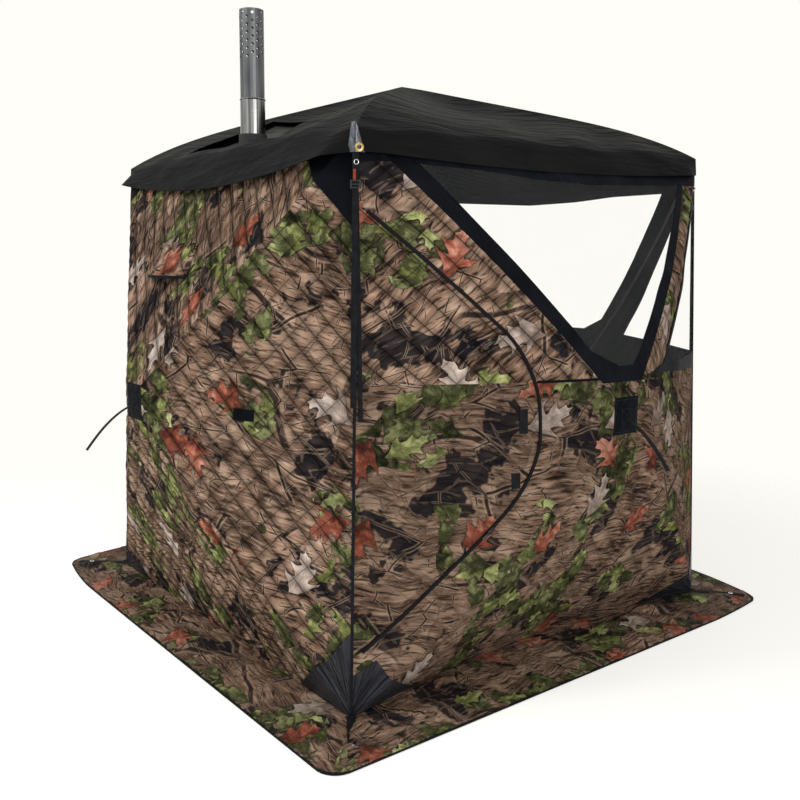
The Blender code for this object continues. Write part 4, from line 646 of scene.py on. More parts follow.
def foliage_print():
    """A group: bark streaks, dark limbs along warped cell borders, then scattered leaves on top."""
    group, come, leave = shader_group("foliage_print", [("Place", "Vector")], [("Print", "Color")])
    place = come["Place"]
    bent = wobbled(group, place, 3.2, 2.0, 0.11)
    bark = noise(group, stretched(group, bent, 3.0, 34.0, 1.0), 1.0, 6.0, Roughness=0.70, flat=True)
    patchy = noise(group, bent, 5.5, 3.0, flat=True)
    tone = scaled(group, patchy, 0.50, times(group, bark, 0.66))
    base = ramp(group, tone, (0.38, (0.010, 0.007, 0.006)), (0.47, (0.060, 0.036, 0.025)),
                (0.55, (0.165, 0.098, 0.065)), (0.66, (0.30, 0.19, 0.13)), (0.80, (0.44, 0.32, 0.24)))
    hatch = noise(group, stretched(group, bent, 16.0, 110.0, 1.0), 1.0, 3.0, flat=True)
    dark = span(group, hatch, 0.44, 0.36)
    base = mixed(group, times(group, dark, 0.85), base, (0.009, 0.007, 0.006))
    pale = span(group, hatch, 0.57, 0.66)
    colour = mixed(group, times(group, pale, 0.38), base, (0.46, 0.33, 0.25))
    layer = stretched(group, bent, 0.75, 1.15, 1.0)
    seam = flat_cells(group, layer, 15.0, feature="DISTANCE_TO_EDGE")["Distance"]
    tone = parts_of(group, flat_cells(group, layer, 15.0)["Color"])[0]
    lying = span(group, noise(group, place, 2.3, 2.0, flat=True), 0.46, 0.53)
    dead = ramp(group, tone, (0.0, (0.070, 0.042, 0.028)), (0.5, (0.22, 0.135, 0.090)),
                (1.0, (0.40, 0.275, 0.195)))
    dead = mixed(group, times(group, dark, 0.70), dead, (0.02, 0.014, 0.011))
    dead = mixed(group, times(group, pale, 0.35), dead, (0.50, 0.37, 0.28))
    crack = span(group, seam, 0.055, 0.02)
    dead = mixed(group, times(group, crack, 0.45), dead, (0.020, 0.014, 0.011))
    colour = mixed(group, times(group, lying, 0.75), colour, dead)
    shadow = noise(group, bent, 4.2, 4.0, Roughness=0.6, flat=True)
    night = span(group, shadow, 0.565, 0.590)
    colour = mixed(group, times(group, night, 0.92), colour, (0.007, 0.008, 0.012))
    limbs = (
        (2.6, 0.026, 0.0, (0.018, 0.013, 0.011)),
        (5.0, 0.020, 2.0, (0.011, 0.009, 0.008)),
        (10.0, 0.018, 4.0, (0.009, 0.008, 0.007)),
        (19.0, 0.024, 6.0, (0.012, 0.009, 0.008)),
    )
    for cells, wide, shift, dark_wood in limbs:
        shifted = vector(group, "ADD", bent, (shift, shift, 0))
        long_way = stretched(group, shifted, 0.55, 1.25, 1.0)
        border = flat_cells(group, long_way, cells, feature="DISTANCE_TO_EDGE")["Distance"]
        gap = span(group, noise(group, shifted, cells * 1.3, flat=True), 0.46, 0.52)
        light = times(group, span(group, border, wide * 1.9, wide * 1.5), gap)
        limb = times(group, span(group, border, wide, wide * 0.6), gap)
        colour = mixed(group, times(group, light, 0.40), colour, (0.42, 0.29, 0.21))
        colour = mixed(group, times(group, limb, 0.93), colour, dark_wood)
    clump = span(group, noise(group, place, 3.4, 1.0, flat=True), 0.52, 0.60)
    scatter = leaf_scatter()
    leafy = wobbled(group, place, 13.0, 3.0, 0.034)
    layers = (
        (6.2, 23.0, 0.095, 0.052, 0.40, None, "moss"),
        (8.0, 3.0, 0.068, 0.034, 0.38, None, "green"),
        (9.5, 17.0, 0.058, 0.028, 0.34, None, "moss"),
        (4.1, 7.0, 0.078, 0.046, 0.46, 0.34, "rust"),
        (3.5, 31.0, 0.086, 0.046, 0.50, 0.26, "tan"),
    )
    tints = {
        "green": ((0.32, (0.042, 0.045, 0.017)), (0.55, (0.165, 0.180, 0.058)),
                  (0.78, (0.43, 0.44, 0.19))),
        "moss": ((0.32, (0.014, 0.015, 0.008)), (0.55, (0.068, 0.072, 0.030)),
                 (0.78, (0.23, 0.24, 0.105))),
        "rust": ((0.32, (0.075, 0.024, 0.016)), (0.55, (0.27, 0.078, 0.047)),
                 (0.78, (0.50, 0.24, 0.17))),
        "tan": ((0.30, (0.17, 0.125, 0.10)), (0.55, (0.37, 0.29, 0.24)), (0.80, (0.56, 0.47, 0.41))),
    }
    for cells, shift, long, wide, teeth, chance, kind in layers:
        chance = times(group, clump, 0.95) if chance is None else chance
        feeds = {"Place": leafy, "Cells": cells, "Shift": shift, "Long": long, "Wide": wide,
                 "Teeth": teeth}
        leaf = put(group, "Group", {**feeds, "Share": chance}, node_tree=scatter).outputs
        body = ramp(group, leaf["Light"], *tints[kind])
        body = mixed(group, times(group, leaf["Vein"], 0.35), body, (0.05, 0.035, 0.025))
        colour = mixed(group, times(group, leaf["Shade"], 0.7), colour, (0.012, 0.010, 0.009))
        colour = mixed(group, leaf["Leaf"], colour, body)
    group.links.new(colour, leave["Print"])
    return group


def diamond_quilting():
    """A group: two families of stitch lines at 45 degrees, a pitch apart. The padding's height is
    the root of |sin a| x (1 - k + k |sin b|): one family is pulled tighter. Stitch is 1 on the
    lines."""
    takes = (("Place", "Vector"), ("Pitch", "Float"))
    group, come, leave = shader_group("diamond_quilting", takes,
                                      (("Height", "Float"), ("Stitch", "Float")))
    across, up, _ = parts_of(group, wobbled(group, come["Place"], 5.0, 2.0, 0.005))
    waves = []
    for sign in (1.0, -1.0):
        run = scaled(group, up, sign, across)
        run = work(group, "DIVIDE", times(group, run, pi / 2 ** 0.5), come["Pitch"])
        waves.append(work(group, "ABSOLUTE", work(group, "SINE", run)))
    waves[1] = scaled(group, waves[1], 0.78, 0.22)
    low = work(group, "MINIMUM", waves[0], scaled(group, waves[1], 1.0, -0.19))
    group.links.new(work(group, "POWER", times(group, *waves), 0.5), leave["Height"])
    group.links.new(span(group, low, 0.10, 0.03), leave["Stitch"])
    return group


PRINT = foliage_print()
QUILTING = diamond_quilting()


def quilted(tree, where):
    """The quilting's Height and Stitch over a flat cut."""
    return put(tree, "Group", {"Place": where, "Pitch": PITCH}, node_tree=QUILTING).outputs


def printed(tree, where, turn, shift):
    """The print's colours over a flat cut, turned and shifted."""
    if turn is not None:
        where = put(tree, "VectorRotate", {"Vector": where, "Angle": turn},
                    rotation_type="Z_AXIS").outputs[0]
    moved = vector(tree, "ADD", where, (*shift, 0))
    return put(tree, "Group", {"Place": moved}, node_tree=PRINT).outputs["Print"]


def printed_cloth(name, turn_deg, shift, puff=1.0, lower_turn=None):
    """Printed, quilted polyester. The print is turned and shifted on its panel. On the door wall it
    runs another way below the seam, where the quilting is pressed flatter. Painted shade darkens the
    colour along the stitch lines, and painted light and shade make it lighter on the padding's crests
    and darker in its hollows, less so where the padding is flatter."""
    made, tree, shader = finish(name, Roughness=0.85, Specular_IOR_Level=0.015)
    where = flat_place(tree)
    quilt = quilted(tree, where)
    angle = radians(turn_deg)
    puffed = puff
    if lower_turn is not None:
        upper = work(tree, "GREATER_THAN", parts_of(tree, where)[1], SEAM_HEIGHT)
        angle = scaled(tree, upper, radians(turn_deg - lower_turn), radians(lower_turn))
        puffed = scaled(tree, upper, puff * 0.72, puff * 0.28)
    # Painted shade: the colour is darkened along the sunken stitch lines, more where the padding is
    # puffier.
    stitch = times(tree, quilt["Stitch"], times(tree, puffed, 0.72))
    colour = mixed(tree, stitch, printed(tree, where, angle, shift), (0.012, 0.010, 0.009))
    # Painted light and shade: the colour is scaled up on the padding's crests and down in its hollows.
    crest = times(tree, work(tree, "POWER", quilt["Height"], 2.0), puffed)
    puff_light_and_shade = vector(tree, "SCALE", colour, Scale=scaled(tree, crest, 0.85, 0.58))
    link(tree, puff_light_and_shade, shader, "Base Color")
    rumple = noise(tree, where, 21.0, 3.0, Distortion=0.8, flat=True)
    relief(tree, shader, scaled(tree, rumple, 0.30, times(tree, quilt["Height"], puffed)), 0.010)
    return made


lining, tree, shader = finish("dark_lining", Roughness=0.7, Specular_IOR_Level=0.02)
where = flat_place(tree)
tint(tree, shader, noise(tree, where, 7.0, 4.0), (0.3, (0.0022, 0.0026, 0.0040)),
     (0.75, (0.0070, 0.0080, 0.0115)))
relief(tree, shader, quilted(tree, where)["Height"], 0.006)

FRONT_PRINT = printed_cloth("front_print", -38, (0.0, 0.0), lower_turn=4)
FRONT_PRINT_FAR = printed_cloth("front_print_far", 74, (3.1, 1.7), puff=0.7, lower_turn=18)
SIDE_PRINT = printed_cloth("side_print", 14, (5.3, 2.9))
SIDE_PRINT_FAR = printed_cloth("side_print_far", 62, (8.1, 6.3))
SIDE_PRINT_LOW = printed_cloth("side_print_low", -6, (11.7, 9.1))
BACK_PRINT = printed_cloth("back_print", 24, (14.2, 12.6))

HINGE = [ridge(k, 0.025 / FOOT_HALF) for k in (0, 3)]
NOSE_TIP, NOSE_RADIUS = np.array([-0.163, 0.921]), 0.408


def hinge_at(height):
    """The door's hinge line is straight between the two ridges, 25 mm in from the corner edge."""
    share = (height - HINGE[0][2]) / (HINGE[1][2] - HINGE[0][2])
    return HINGE[0] + (HINGE[1] - HINGE[0]) * share


def door_outline(grow=0.0, nose_steps=26):
    """The door: straight from the hinge's foot to the nose, round it on an arc, and straight back
    to the hinge's head. grow moves every side out by that much."""
    foot, head = (hinge_at(height)[[0, 2]] for height in (0.214, 1.552))
    lower, upper = ((end - NOSE_TIP) / np.linalg.norm(end - NOSE_TIP) for end in (foot, head))
    half = np.arccos(lower @ upper) / 2
    middle = (lower + upper) / np.linalg.norm(lower + upper)
    centre = NOSE_TIP + middle * NOSE_RADIUS / np.sin(half)
    first = NOSE_TIP + lower * NOSE_RADIUS / np.tan(half) - centre
    angles = np.arctan2(first[1], first[0]) + np.linspace(0, pi - 2 * half, nose_steps)
    nose = centre + np.stack([np.cos(angles), np.sin(angles)], -1) * (NOSE_RADIUS + grow)
    down = np.array([lower[1], -lower[0]]) * np.sign(lower[0])
    lift = np.array([-upper[1], upper[0]]) * np.sign(upper[0])
    back = np.array([-grow, 0])
    line = [foot + down * grow + back, *nose, head + lift * grow + back]
    return [tuple(map(float, p)) for p in line]


TOP_WINDOW = [(-0.140, 1.130), (-0.015, 1.075), (0.062, 1.075), (0.109, 1.120), (0.670, 1.718),
              (-0.664, 1.718)]
SIDE_WINDOW = [(0.302, 1.062), (0.842, 1.050), (0.826, 1.620), (0.715, 1.620)]
VENT_HOLE = [(-0.160, 1.3625), (0.040, 1.3625), (0.040, 1.4475), (-0.160, 1.4475)]


def mirrored(outline):
    return [(-x, z) for x, z in reversed(outline)]


def grown(outline, by):
    """An outline, anticlockwise, with every side moved out by the same reach."""
    line = np.asarray(outline, float)
    side = np.roll(line, -1, axis=0) - line
    side /= np.linalg.norm(side, axis=1, keepdims=True)
    out = np.stack([side[:, 1], -side[:, 0]], -1)
    before = np.roll(out, 1, axis=0)
    corner = line + by * (out + before) / (1 + (out * before).sum(axis=1, keepdims=True))
    return [tuple(map(float, point)) for point in corner]


UNDER_FRAME = 0.004
openings = {
    ("front", 3): door_outline(), ("front", 2): grown(TOP_WINDOW, UNDER_FRAME),
    ("front", 1): grown(SIDE_WINDOW, UNDER_FRAME), ("right", 2): grown(TOP_WINDOW, UNDER_FRAME),
    ("right", 3): mirrored(grown(SIDE_WINDOW, UNDER_FRAME)), ("left", 2): VENT_HOLE,
}
prints = {
    "front": (FRONT_PRINT, FRONT_PRINT_FAR, FRONT_PRINT_FAR, FRONT_PRINT),
    "right": (SIDE_PRINT_LOW, SIDE_PRINT_FAR, SIDE_PRINT_FAR, SIDE_PRINT),
    "back": (BACK_PRINT,) * 4,
    "left": (SIDE_PRINT_LOW, SIDE_PRINT, SIDE_PRINT_FAR, SIDE_PRINT_FAR),
}
FACET_NAMES = ("bottom", "right", "top", "left")
PAD = 0.007
FINE = {"rows": 84, "columns": 150}


def drawn_in(wall, share, x, z):
    """How far the quilting draws the cloth in: by its depth on the two families of stitch lines,
    and not at all in the middle of a diamond, at the outer edge or at the hub patch. Below the
    door wall's seam it is pressed flatter."""
    tight, loose = (np.sin((x + sign * z) * pi / (2 ** 0.5 * PITCH)) ** 2 for sign in (1, -1))
    depth = np.where((z < SEAM_HEIGHT) & (wall == "front"), 0.0012, 0.0038)
    fade = np.clip(12 * np.minimum(share, 1 - share), 0, 1)
    return depth * (1 - tight * (0.22 + 0.78 * loose)) * fade


def facet_cloth(name, wall, facet, finishes, lift=0.0, pad=PAD, rows=44, columns=64):
    """One facet of a wall as a closed padded sheet. Its back is drawn in at the outer edge, so that
    two walls meet on a mitre. A padded sheet is quilted; a trim is flat."""
    turns = WALLS[wall]
    share, across = grid(rows + 1, columns + 1)
    face = cloth_at(facet, share, across, turns)
    a, b = CORNERS[facet], CORNERS[(facet + 1) % 4]
    run = (b - a) * [1, 0, 1] / np.linalg.norm((b - a) * [1, 0, 1])
    inward = np.array([-run[2], 0, run[0]])
    back = face + np.array([0, pad, 0]) + inward * (pad * (share[..., None] == 0))
    if facet == 0:
        back[0, :, 2] = 0
        back[..., 2] = np.maximum(back[..., 2], 0)
    face = face - [0, lift, 0]
    if pad == PAD:
        face[..., 1] += drawn_in(wall, share, face[..., 0], face[..., 2])
    made = skin(name, quarter(face, turns), quarter(back, turns), finishes, face[..., [0, 2]])
    made["wall_turns"] = turns
    return made


for wall in WALLS:
    for facet, place in enumerate(FACET_NAMES):
        cloth = facet_cloth(f"{wall}_quilt_{place}", wall, facet, [prints[wall][facet], lining], **FINE)
        if (wall, facet) in openings:
            trimmed(cloth, openings[wall, facet])
        follow(cloth)
        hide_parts(f"{wall}_wall")
        wide, tall = ((1.80, 0.93), (1.79, 0.92))[facet % 2]
        area = cloth_area(cloth)
        while area < 0.31 * wide * tall:
            tall *= 0.8
        cloth_sheet(cloth)


def sewn(name, wall, facet, outline, made, holes=(), lift=0.0016):
    """A flat trim sewn on a facet: a thin copy of the facet's cloth, cut to an outline."""
    piece = facet_cloth(name, wall, facet, [made], lift=lift, pad=0.0002)
    trimmed(piece, outline, keep=True)
    for hole in holes:
        trimmed(piece, hole)
    follow(piece)
    return piece


# ---- Hub patches ----
# A square of black nylon is sewn over each hub, where the four facets meet.
def nylon(name, stitched=False):
    """Plain-woven black nylon, creased and dusty. On a hub patch it has a seam round the edge and a
    crossed box of stitches in the middle."""
    made, tree, shader = finish(name, Roughness=0.55, Specular_IOR_Level=0.02)
    where = flat_place(tree)
    across, up, _ = parts_of(tree, where)
    yarn = 0.0016
    weave = scaled(tree, times(tree, ribs(tree, across, yarn), ribs(tree, up, yarn)), 0.5, 0.5)
    dust = noise(tree, where, 9.0, 5.0)
    colour = ramp(tree, dust, (0.35, (0.0030, 0.0034, 0.0050)), (0.8, (0.0085, 0.0095, 0.0135)))
    creased = noise(tree, where, 26.0, 2.0, Distortion=1.4)
    height = scaled(tree, weave, 0.02, creased)
    if stitched:
        edge, box, thread = 0.054, 0.022, 0.0006
        side = work(tree, "ABSOLUTE", across)
        rise = work(tree, "ABSOLUTE", work(tree, "SUBTRACT", up, HUB[2]))
        far = work(tree, "MAXIMUM", side, rise)
        lines = (work(tree, "COMPARE", far, reach, thread) for reach in (edge, box))
        outline = work(tree, "MAXIMUM", *lines)
        cross = times(tree, work(tree, "COMPARE", side, rise, 0.0008),
                      work(tree, "LESS_THAN", far, box))
        seam = work(tree, "MAXIMUM", outline, cross)
        dash = work(tree, "GREATER_THAN", ribs(tree, work(tree, "ADD", side, rise), 0.0042), -0.5)
        seam = times(tree, seam, dash)
        colour = mixed(tree, times(tree, seam, 0.8), colour, (0.050, 0.052, 0.060))
        height = work(tree, "SUBTRACT", height, times(tree, seam, 0.4))
    link(tree, colour, shader, "Base Color")
    relief(tree, shader, height, 0.005)
    return made


black_nylon = nylon("black_nylon")
patch_nylon = nylon("patch_nylon", stitched=True)

u, v = (part[..., None] for part in grid(13, 13))
quad = [patch_corner(k) for k in range(4)]
flat = (quad[0] * (1 - u) + quad[1] * u) * (1 - v) + (quad[3] * (1 - u) + quad[2] * u) * v
face = flat - [0, 0.0002, 0] - np.array([0, 0.0025, 0]) * (16 * u * (1 - u) * v * (1 - v))
for wall, turns in WALLS.items():
    back = quarter(flat + [0, 0.004, 0], turns)
    patch = skin(f"{wall}_hub_patch", quarter(face, turns), back, [patch_nylon], flat[..., [0, 2]])
    rides(patch, f"{wall}_hub", "webbing")
    cloth_sheet(patch, most=0.0153)

# ---- Hubs, poles and brackets ----
# Glass-fibre rods stand behind the ridges, between moulded hubs and brackets at the corners.
rod_finish, tree, shader = finish("glass_fibre", Roughness=0.36, Specular_IOR_Level=0.5)
where = solid_place(tree)
strand = noise(tree, where, 240.0, 3.0, Distortion=0.4)
scuff = noise(tree, where, 12.0, 4.0)
tint(tree, shader, scaled(tree, scuff, 0.6, times(tree, strand, 0.4)), (0.35, (0.010, 0.010, 0.011)),
     (0.75, (0.045, 0.045, 0.048)))
relief(tree, shader, strand, 0.0003)

ROD_RADIUS = 0.0055
RODS = ((-0.8731, -0.8894, 0.0272, -0.0482, 0.8622), (0.8731, -0.8894, 0.0272, 0.0482, 0.8622),
        (0.8101, -0.8282, 1.7579, 0.0474, 0.9606), (-0.8101, -0.8282, 1.7579, -0.0474, 0.9606))
ROD_DEPTH = -1.1862
CROWN_HALF = 0.0533
ROOF_BOW = 0.016


def rod(name, node, line):
    """A round rod along a line of points: each ring stands square to the line."""
    along = np.gradient(line, axis=0)
    along /= np.linalg.norm(along, axis=1, keepdims=True)
    side = np.cross(along, [0.3, 0.3, 1.0])
    side /= np.linalg.norm(side, axis=1, keepdims=True)
    up = np.cross(side, along)
    turn = np.linspace(0, 2 * pi, 13)[None, :, None]
    ring = line[:, None] + ROD_RADIUS * (np.cos(turn) * side[:, None] + np.sin(turn) * up[:, None])
    core = np.broadcast_to(line[:, None], ring.shape) + 0.0001 * (ring - line[:, None])
    made = skin(name, ring, core, [rod_finish])
    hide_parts(node)
    return made


def follow_roof(piece):
    """Bakes the piece's placing into its mesh."""
    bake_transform(piece)


share = np.linspace(0, 1, 25)[:, None]
for wall, turns in WALLS.items():
    for facet, place in enumerate(("bottom_left", "bottom_right", "top_right", "top_left")):
        x, y, z, hub_x, hub_z = RODS[facet]
        line = np.array([x, y, z]) * (1 - share) + np.array([hub_x, ROD_DEPTH, hub_z]) * share
        bow = 4 * (RIDGE_BOW[turns] + 0.001) * share * (1 - share)
        made = rod(f"{wall}_rod_{place}", f"{wall}_pole_{place}",
                   quarter(line - [0, 1, 0] * bow, turns))
        follow(made)
low, high = np.array([-0.809, -0.809, 1.7722]), np.array([-0.0399, -0.0399, 2.0867])
for turns, place in enumerate(("front_left", "front_right", "back_right", "back_left")):
    line = low * (1 - share) + high * share
    line = quarter(line + [0, 0, 4 * ROOF_BOW] * share * (1 - share), turns)
    made = rod(f"roof_rod_{place}", f"roof_pole_{place}", line)
    follow_roof(made)
coat(moulded("hub_plastic", (0.008, 0.008, 0.009), (0.028, 0.028, 0.031), 0.42),
     *(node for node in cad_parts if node.endswith("_hub") or "_bracket_" in node))

# ---- Wall trims ----
# Black cloth over the door wall's and the window wall's top edges, a bound seam at mid height,
# piping down the four corners, patches at the vent wall's top corners, and a small tab.
EAVE_BAND = [(-0.86, 1.700), (-0.687, 1.700), (-0.391, 1.698), (-0.155, 1.684), (0.132, 1.680),
             (0.682, 1.712), (0.86, 1.712), (0.86, 1.81), (-0.86, 1.81)]
CORNER_PATCH = [(0.551, 1.81), (0.551, 1.720), (0.631, 1.710), (0.697, 1.651), (0.771, 1.577),
                (0.836, 1.506), (0.95, 1.506), (0.95, 1.81)]
for wall in ("front", "right"):
    for facet in (1, 2, 3):
        sewn(f"{wall}_eave_band_{FACET_NAMES[facet]}", wall, facet, EAVE_BAND, black_nylon, lift=0.0026)
for facet, outline in ((1, CORNER_PATCH), (2, CORNER_PATCH), (3, mirrored(CORNER_PATCH))):
    sewn(f"left_corner_patch_{FACET_NAMES[facet]}", "left", facet, outline, black_nylon)
sewn("left_corner_patch_far", "left", 2, mirrored(CORNER_PATCH), black_nylon)


def oblong(left, right, low, high):
    return [(left, low), (right, low), (right, high), (left, high)]


sewn("left_tab", "left", 1, oblong(0.449, 0.522, 0.895, 0.933), black_nylon, lift=0.0022)
sewn("front_seam_left", "front", 3, oblong(-0.345, -0.05, 1.036, 1.044), black_nylon)
sewn("front_seam_top", "front", 2, oblong(-0.20, -0.030, 1.036, 1.044), black_nylon)
share = np.linspace(0, 1, 40)[:, None]
for corner, place in enumerate(("near", "right", "back", "far")):
    low, high = (quarter(end, corner) for end in ([-FOOT_HALF, -FOOT_HALF, 0.004], CORNERS[3]))
    across = quarter(np.array([1.0, -1.0, 0]), corner)
    piping = strap(f"corner_piping_{place}", low + (high - low) * share, across, 0.009, 0.0075, webbing)
    rides(piping, "tent", "webbing")

# ---- Corner boots and stake straps ----
# Gathered black cloth covers the foot of each corner, where the poles end. A strap runs out from
# it over the skirt to a stake, through a nickel grommet.
boot_cloth, tree, shader = finish("boot_nylon", Roughness=0.42, Specular_IOR_Level=0.22)
across, up, _ = parts_of(tree, flat_place(tree))
aside = work(tree, "SUBTRACT", 0.905, work(tree, "ABSOLUTE", across))
fan = work(tree, "ARCTAN2", up, work(tree, "ADD", aside, 0.004))
reach = work(tree, "SQRT", work(tree, "ADD", times(tree, aside, aside), times(tree, up, up)))
polar = put(tree, "CombineXYZ", {"X": times(tree, fan, 9.0), "Y": times(tree, reach, 5.0)}).outputs[0]
gather = noise(tree, polar, 1.0, 3.0, Distortion=0.6)
# Painted light and shade: the colour follows the gathers, lighter on their crests and darker in their
# hollows.
tint(tree, shader, gather, (0.30, (0.0045, 0.0048, 0.0065)), (0.75, (0.026, 0.028, 0.038)))
relief(tree, shader, gather, 0.030)

BOOT_TALL = [(0.600, -0.02), (0.93, -0.02), (0.93, 0.271), (0.886, 0.271), (0.817, 0.170),
             (0.612, 0.003)]
BOOT_LOW = [(-0.93, -0.02), (-0.600, -0.02), (-0.616, 0.003), (-0.791, 0.120), (-0.829, 0.184),
            (-0.897, 0.134), (-0.93, 0.134)]
BOOT_PARTS = ((1, BOOT_TALL, "tall"), (0, BOOT_TALL, "tall_foot"), (3, BOOT_LOW, "low"),
              (0, BOOT_LOW, "low_foot"))
for wall in WALLS:
    for facet, outline, place in BOOT_PARTS:
        sewn(f"{wall}_boot_{place}", wall, facet, outline, boot_cloth, lift=0.0035)
STAKES = {"near": (-1.036, -1.098), "right": (1.045, -1.070), "back": (1.05, 1.05),
          "far": (-1.070, 1.045)}
share = np.linspace(0, 1, 18)[:, None]
for corner, (place, far) in enumerate(STAKES.items()):
    start, end = quarter([-0.904, -0.904, 0.0105], corner), np.array([*far, 0.0078])
    route = start + (end - start) * share
    along = (end - start) / np.linalg.norm(end - start)
    across = np.array([-along[1], along[0], 0])
    stake = strap(f"stake_strap_{place}", route, across, 0.027, 0.0022, webbing)
    spot = end - along * 0.058 + [0, 0, 0.0022]
    ring = revolved(f"stake_grommet_{place}", eyelet_profile(0.0050, 0.0095, 0.0016), spot, (0, 0, 1),
                    nickel)
    line = start + along * 0.010 + [0, 0, 0.0022] + np.outer(np.linspace(-0.017, 0.017, 8), across)
    bar = strap(f"stake_stitch_{place}", line, along, 0.011, 0.003, webbing)
    for piece, kind in ((stake, "webbing"), (ring, "stainless"), (bar, "webbing")):
        rides(piece, "tent", kind)
rivet_profile = [(0.0003, 0), (0.006, 0), (0.0055, 0.0016), (0.003, 0.0030), (0.0003, 0.0034)]
rivet = revolved("skirt_rivet", rivet_profile, np.array([-1.038, -0.983, 0.0060]), (0, 0, 1), nickel)
rides(rivet, "tent", "stainless")

# ---- Door ----
# A panel of the same quilt, sewn along a hinge beside the corner and closed by a coil zip that
# runs down, round a broad nose, and back.
door = facet_cloth("door_quilt", "front", 3, [FRONT_PRINT, lining], **FINE)
trimmed(door, door_outline(grow=-0.0006), keep=True)
rides(door, "door_panel", "quilt_camo", "door_panel")
cloth_sheet(door)


def wall_band(name, wall, facet, inner, outer, made, lift, thick, across=3):
    """A flat band sewn on a facet between two lines of (x, z) points: the lines are joined by
    straight steps, and each point is lifted off the cloth."""
    turns = WALLS[wall]
    inner, outer = np.asarray(inner, float), np.asarray(outer, float)
    share = np.linspace(0, 1, across)[None, :, None]
    flat = inner[:, None] * (1 - share) + outer[:, None] * share
    face = on_facet(facet, flat[..., 0], flat[..., 1], turns, lift)
    back = face + [0, thick, 0]
    along = np.append(0, np.cumsum(np.linalg.norm(np.diff(inner, axis=0), axis=1)))
    wide = np.linalg.norm(outer - inner, axis=1)
    cut = np.stack([np.broadcast_to(along[:, None], flat.shape[:2]), wide[:, None] * share[..., 0]], -1)
    return skin(name, quarter(face, turns), quarter(back, turns), [made], cut)


def line_of(points, gap=0.02):
    """The straight lines through (x, z) points, in steps no longer than the gap."""
    points = np.asarray(points, float)
    rows = [points[:1]]
    for a, b in zip(points, points[1:]):
        count = max(1, int(np.ceil(np.linalg.norm(b - a) / gap)))
        rows.append(a + (b - a) * (np.arange(1, count + 1) / count)[:, None])
    return np.concatenate(rows)


def beside(line, reach):
    """The line moved square to itself by a reach, to its left."""
    line = np.asarray(line, float)
    along = np.gradient(line, axis=0)
    along /= np.linalg.norm(along, axis=1, keepdims=True)
    return line + np.stack([-along[:, 1], along[:, 0]], -1) * reach


TAPE_WIDTH = 0.010
zip_coil, tree, shader = finish("zip_coil", Roughness=0.5, Specular_IOR_Level=0.05)
along, across, _ = parts_of(tree, flat_place(tree))
middle = span(tree, work(tree, "ABSOLUTE", work(tree, "SUBTRACT", across, TAPE_WIDTH / 2)), 0.0022,
              0.0016)
coil = times(tree, middle, scaled(tree, ribs(tree, along, 0.0030), 0.4, 0.6))
tint(tree, shader, coil, (0.0, (0.003, 0.003, 0.004)), (1.0, (0.018, 0.018, 0.021)))
relief(tree, shader, coil, 0.0012)

run = line_of(door_outline(), 0.012)
tape = wall_band("zip_tape", "front", 3, run, beside(run, -TAPE_WIDTH), zip_coil, lift=0.0016,
                 thick=0.0018)
rides(tape, "door_zip", "webbing", "door_zip")

coat(metal("slider_metal", (0.012, 0.012, 0.013), (0.06, 0.06, 0.062), 0.30, (80.0, 80.0, 80.0)),
     "zip_slider")
for name, x, low, high in (("door_tab_high", -0.391, 0.880, 0.957),
                           ("door_tab_low", -0.415, 0.706, 0.755)):
    line = line_of([[x, high], [x, (high + low) / 2], [x, low]], 0.008)
    tab = wall_band(name, "front", 3, line + [0.013, 0], line - [0.013, 0], webbing, lift=0.0030,
                    thick=0.0022)
    rides(tab, "door_panel", "webbing")

# ---- Windows ----
# Clear film, welded into frames of black cloth, in the upper facets of the door wall and the
# wall beside it.
clear_film, tree, shader = finish("clear_film", Roughness=0.12, IOR=1.45)
where = flat_place(tree)
haze = noise(tree, where, 3.0, 3.0)
tint(tree, shader, haze, (0.2, (0.75, 0.77, 0.78)), (0.8, (0.88, 0.89, 0.89)))
link(tree, scaled(tree, haze, 0.015, 0.008), shader, "Alpha")
link(tree, scaled(tree, haze, 0.10, 0.06), shader, "Roughness")
ripple = noise(tree, where, 4.0, 1.0, Distortion=0.6)
relief(tree, shader, ripple, 0.010, 0.6)

for wall in ("front", "right"):
    side = (1 if wall == "front" else 3, "side", SIDE_WINDOW, (0.46, 0.53), f"{wall}_hub")
    top = (2, "top", TOP_WINDOW, (1.28, 0.73), f"{wall}_quilt_top")
    for facet, place, outline, flat, rest in (top, side):
        outline = grown(outline, 0.010)
        film = facet_cloth(f"{wall}_{place}_film", wall, facet, [clear_film], pad=0.0009)
        trimmed(film, mirrored(outline) if facet == 3 else outline, keep=True)
        follow(film)
        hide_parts(f"{wall}_{place}_window")
        cloth_sheet(film)

TOP_FRAME = [(-0.160, 1.026), (0.088, 1.022), (0.742, 1.765), (-0.880, 1.765)]
SIDE_FRAME = [(0.272, 1.052), (0.90, 1.030), (0.90, 1.645), (0.706, 1.645)]
SILL_BAND = [(0.150, 1.040), (0.348, 1.026), (0.691, 1.000), (0.90, 0.990), (0.90, 1.040),
             (0.691, 1.047), (0.489, 1.056), (0.290, 1.066)]
for wall in ("front", "right"):
    facet, flip = (1, list) if wall == "front" else (3, mirrored)
    sewn(f"{wall}_top_frame", wall, 2, TOP_FRAME, black_nylon, holes=[TOP_WINDOW])
    sewn(f"{wall}_side_frame", wall, facet, flip(SIDE_FRAME), black_nylon, holes=[flip(SIDE_WINDOW)])
    sewn(f"{wall}_sill_band", wall, facet, flip(SILL_BAND), black_nylon, lift=0.0024)

